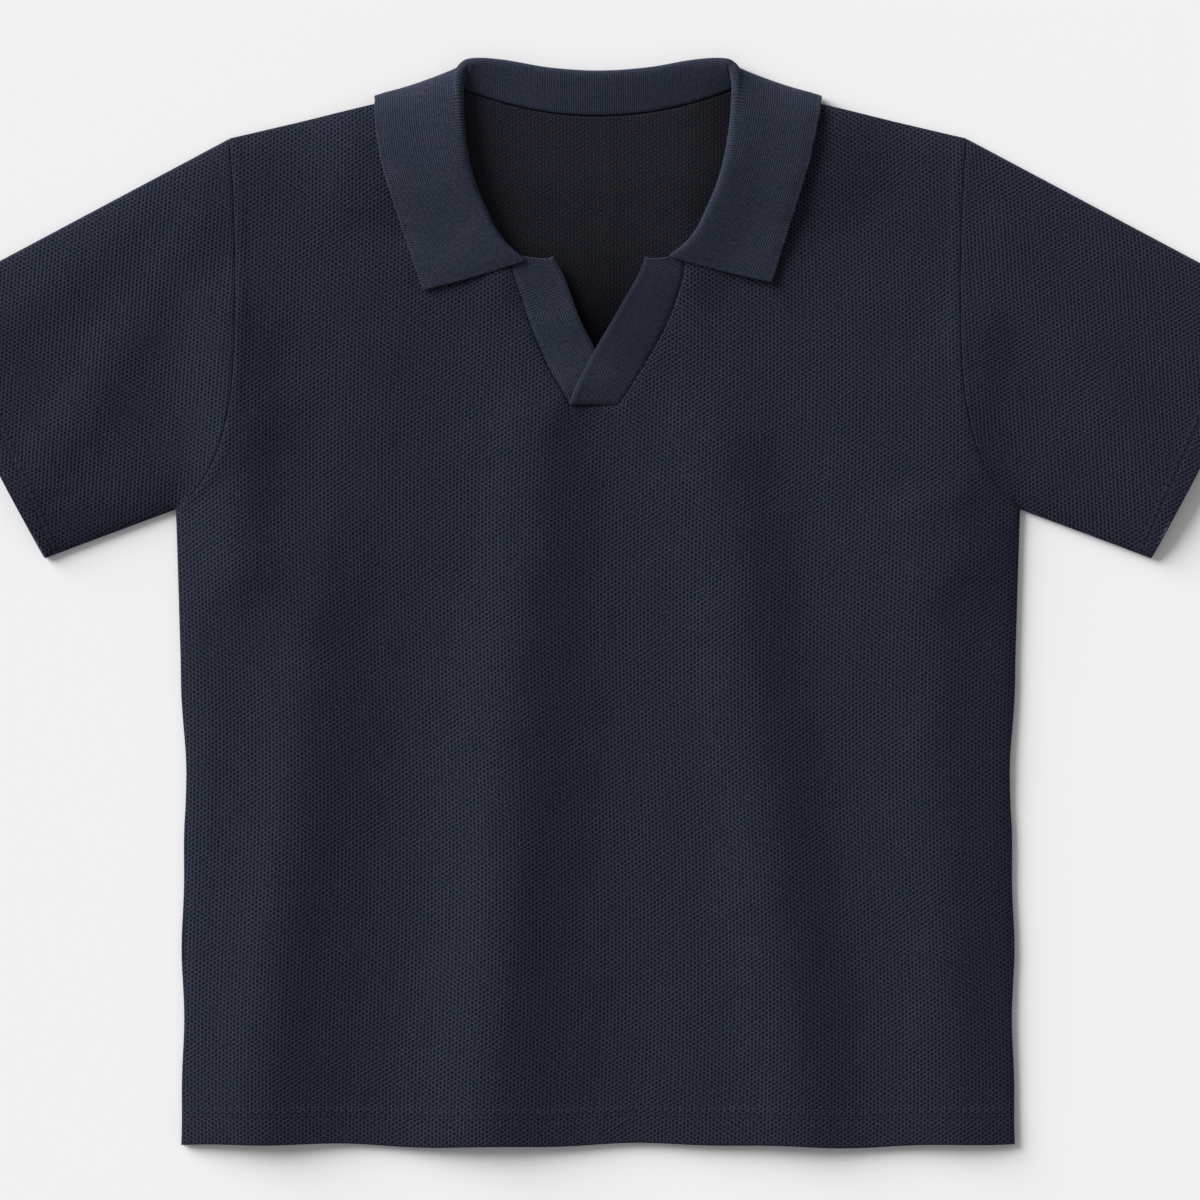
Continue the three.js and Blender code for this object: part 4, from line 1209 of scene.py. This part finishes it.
PIQUE_CLOTH = pique_material()
REVERSE_CLOTH = reverse_material()
# Painted shade: the collar darkens by a share of 0.17 from 190 to 300 mm along it, counted from the left
# leaf's front end, and fully beyond, so that its right leaf reads as turned away from the light
COLLAR_RIB = rib_material("collar_rib", True, RIB_PITCH, painted_shade_span=(190.0, 300.0, 0.17))
LEFT_BAND_RIB = rib_material("band_rib", False, BAND_PITCH, cross_zone=(66.0, 82.0))
# Painted shade: the right band is a darker copy of the band rib. It is darker all over, and darker still from
# 22 to 62 mm along it toward the neck and fully beyond, for the shade it lies in under light from the upper
# left
RIGHT_BAND_RIB_PAINTED_SHADE = rib_material(
    "right_band_rib_painted_shade", False, BAND_PITCH, cross_zone=(34.0, 48.0), painted_shade_tone=0.85, painted_shade_span=(22.0, 62.0, 0.42)
)

front = build_front((PIQUE_CLOTH, REVERSE_CLOTH))
back = build_back((REVERSE_CLOTH, PIQUE_CLOTH))
sleeve_left = build_sleeve("sleeve_left_cloth", -1, (PIQUE_CLOTH, REVERSE_CLOTH))
sleeve_right = build_sleeve("sleeve_right_cloth", 1, (PIQUE_CLOTH, REVERSE_CLOTH))
collar = build_collar((COLLAR_RIB,) * 2)
band_left = build_band("placket_left_cloth", "left_seam", "left_edge", -1, (LEFT_BAND_RIB,) * 2)
band_right = build_band("placket_right_cloth", "right_seam", "right_edge", 1, (RIGHT_BAND_RIB_PAINTED_SHADE,) * 2)

THREAD = thread_material("thread", THREAD_NAVY)
PALE_THREAD = thread_material("pale_thread", THREAD_PALE)
HEM_STITCH = (STITCH_PITCH, STITCH_LENGTH, STITCH_RADIUS, THREAD)
threads = {
    "body_front": [
        stitching("front_hem_stitches", hem_lines(front_hem_height), *HEM_STITCH),
        stitching("slit_stitches", band_seam_lines(), SPECK_PITCH, SPECK_LENGTH, SPECK_RADIUS, PALE_THREAD),
    ],
    "body_back": [stitching("back_hem_stitches", hem_lines(back_hem_height), *HEM_STITCH)],
    "sleeve_left": [stitching("sleeve_left_stitches", cuff_lines(-1), *HEM_STITCH)],
    "sleeve_right": [stitching("sleeve_right_stitches", cuff_lines(1), *HEM_STITCH)],
}

PIECES = [
    (front, "body_front", "pique", (0.55, 0.69), 0.33, [back]),
    (back, "body_back", "pique", (0.55, 0.69), 0.352, []),
    (sleeve_left, "sleeve_left", "pique", (0.50, 0.235), 0.072, []),
    (sleeve_right, "sleeve_right", "pique", (0.50, 0.235), 0.072, []),
    (collar, "collar", "rib", (0.45, 0.10), 0.041, [front]),
    (band_left, "placket_left", "rib", (0.035, 0.1), None, [back]),
    (band_right, "placket_right", "rib", (0.035, 0.1), None, [band_left]),
]
for piece, node, slot, flat, area, below in PIECES:
    sewn_on = threads.get(node, [])
    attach(piece, "root")
    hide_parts(node)
    for thread in sewn_on:
        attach(thread, "root")
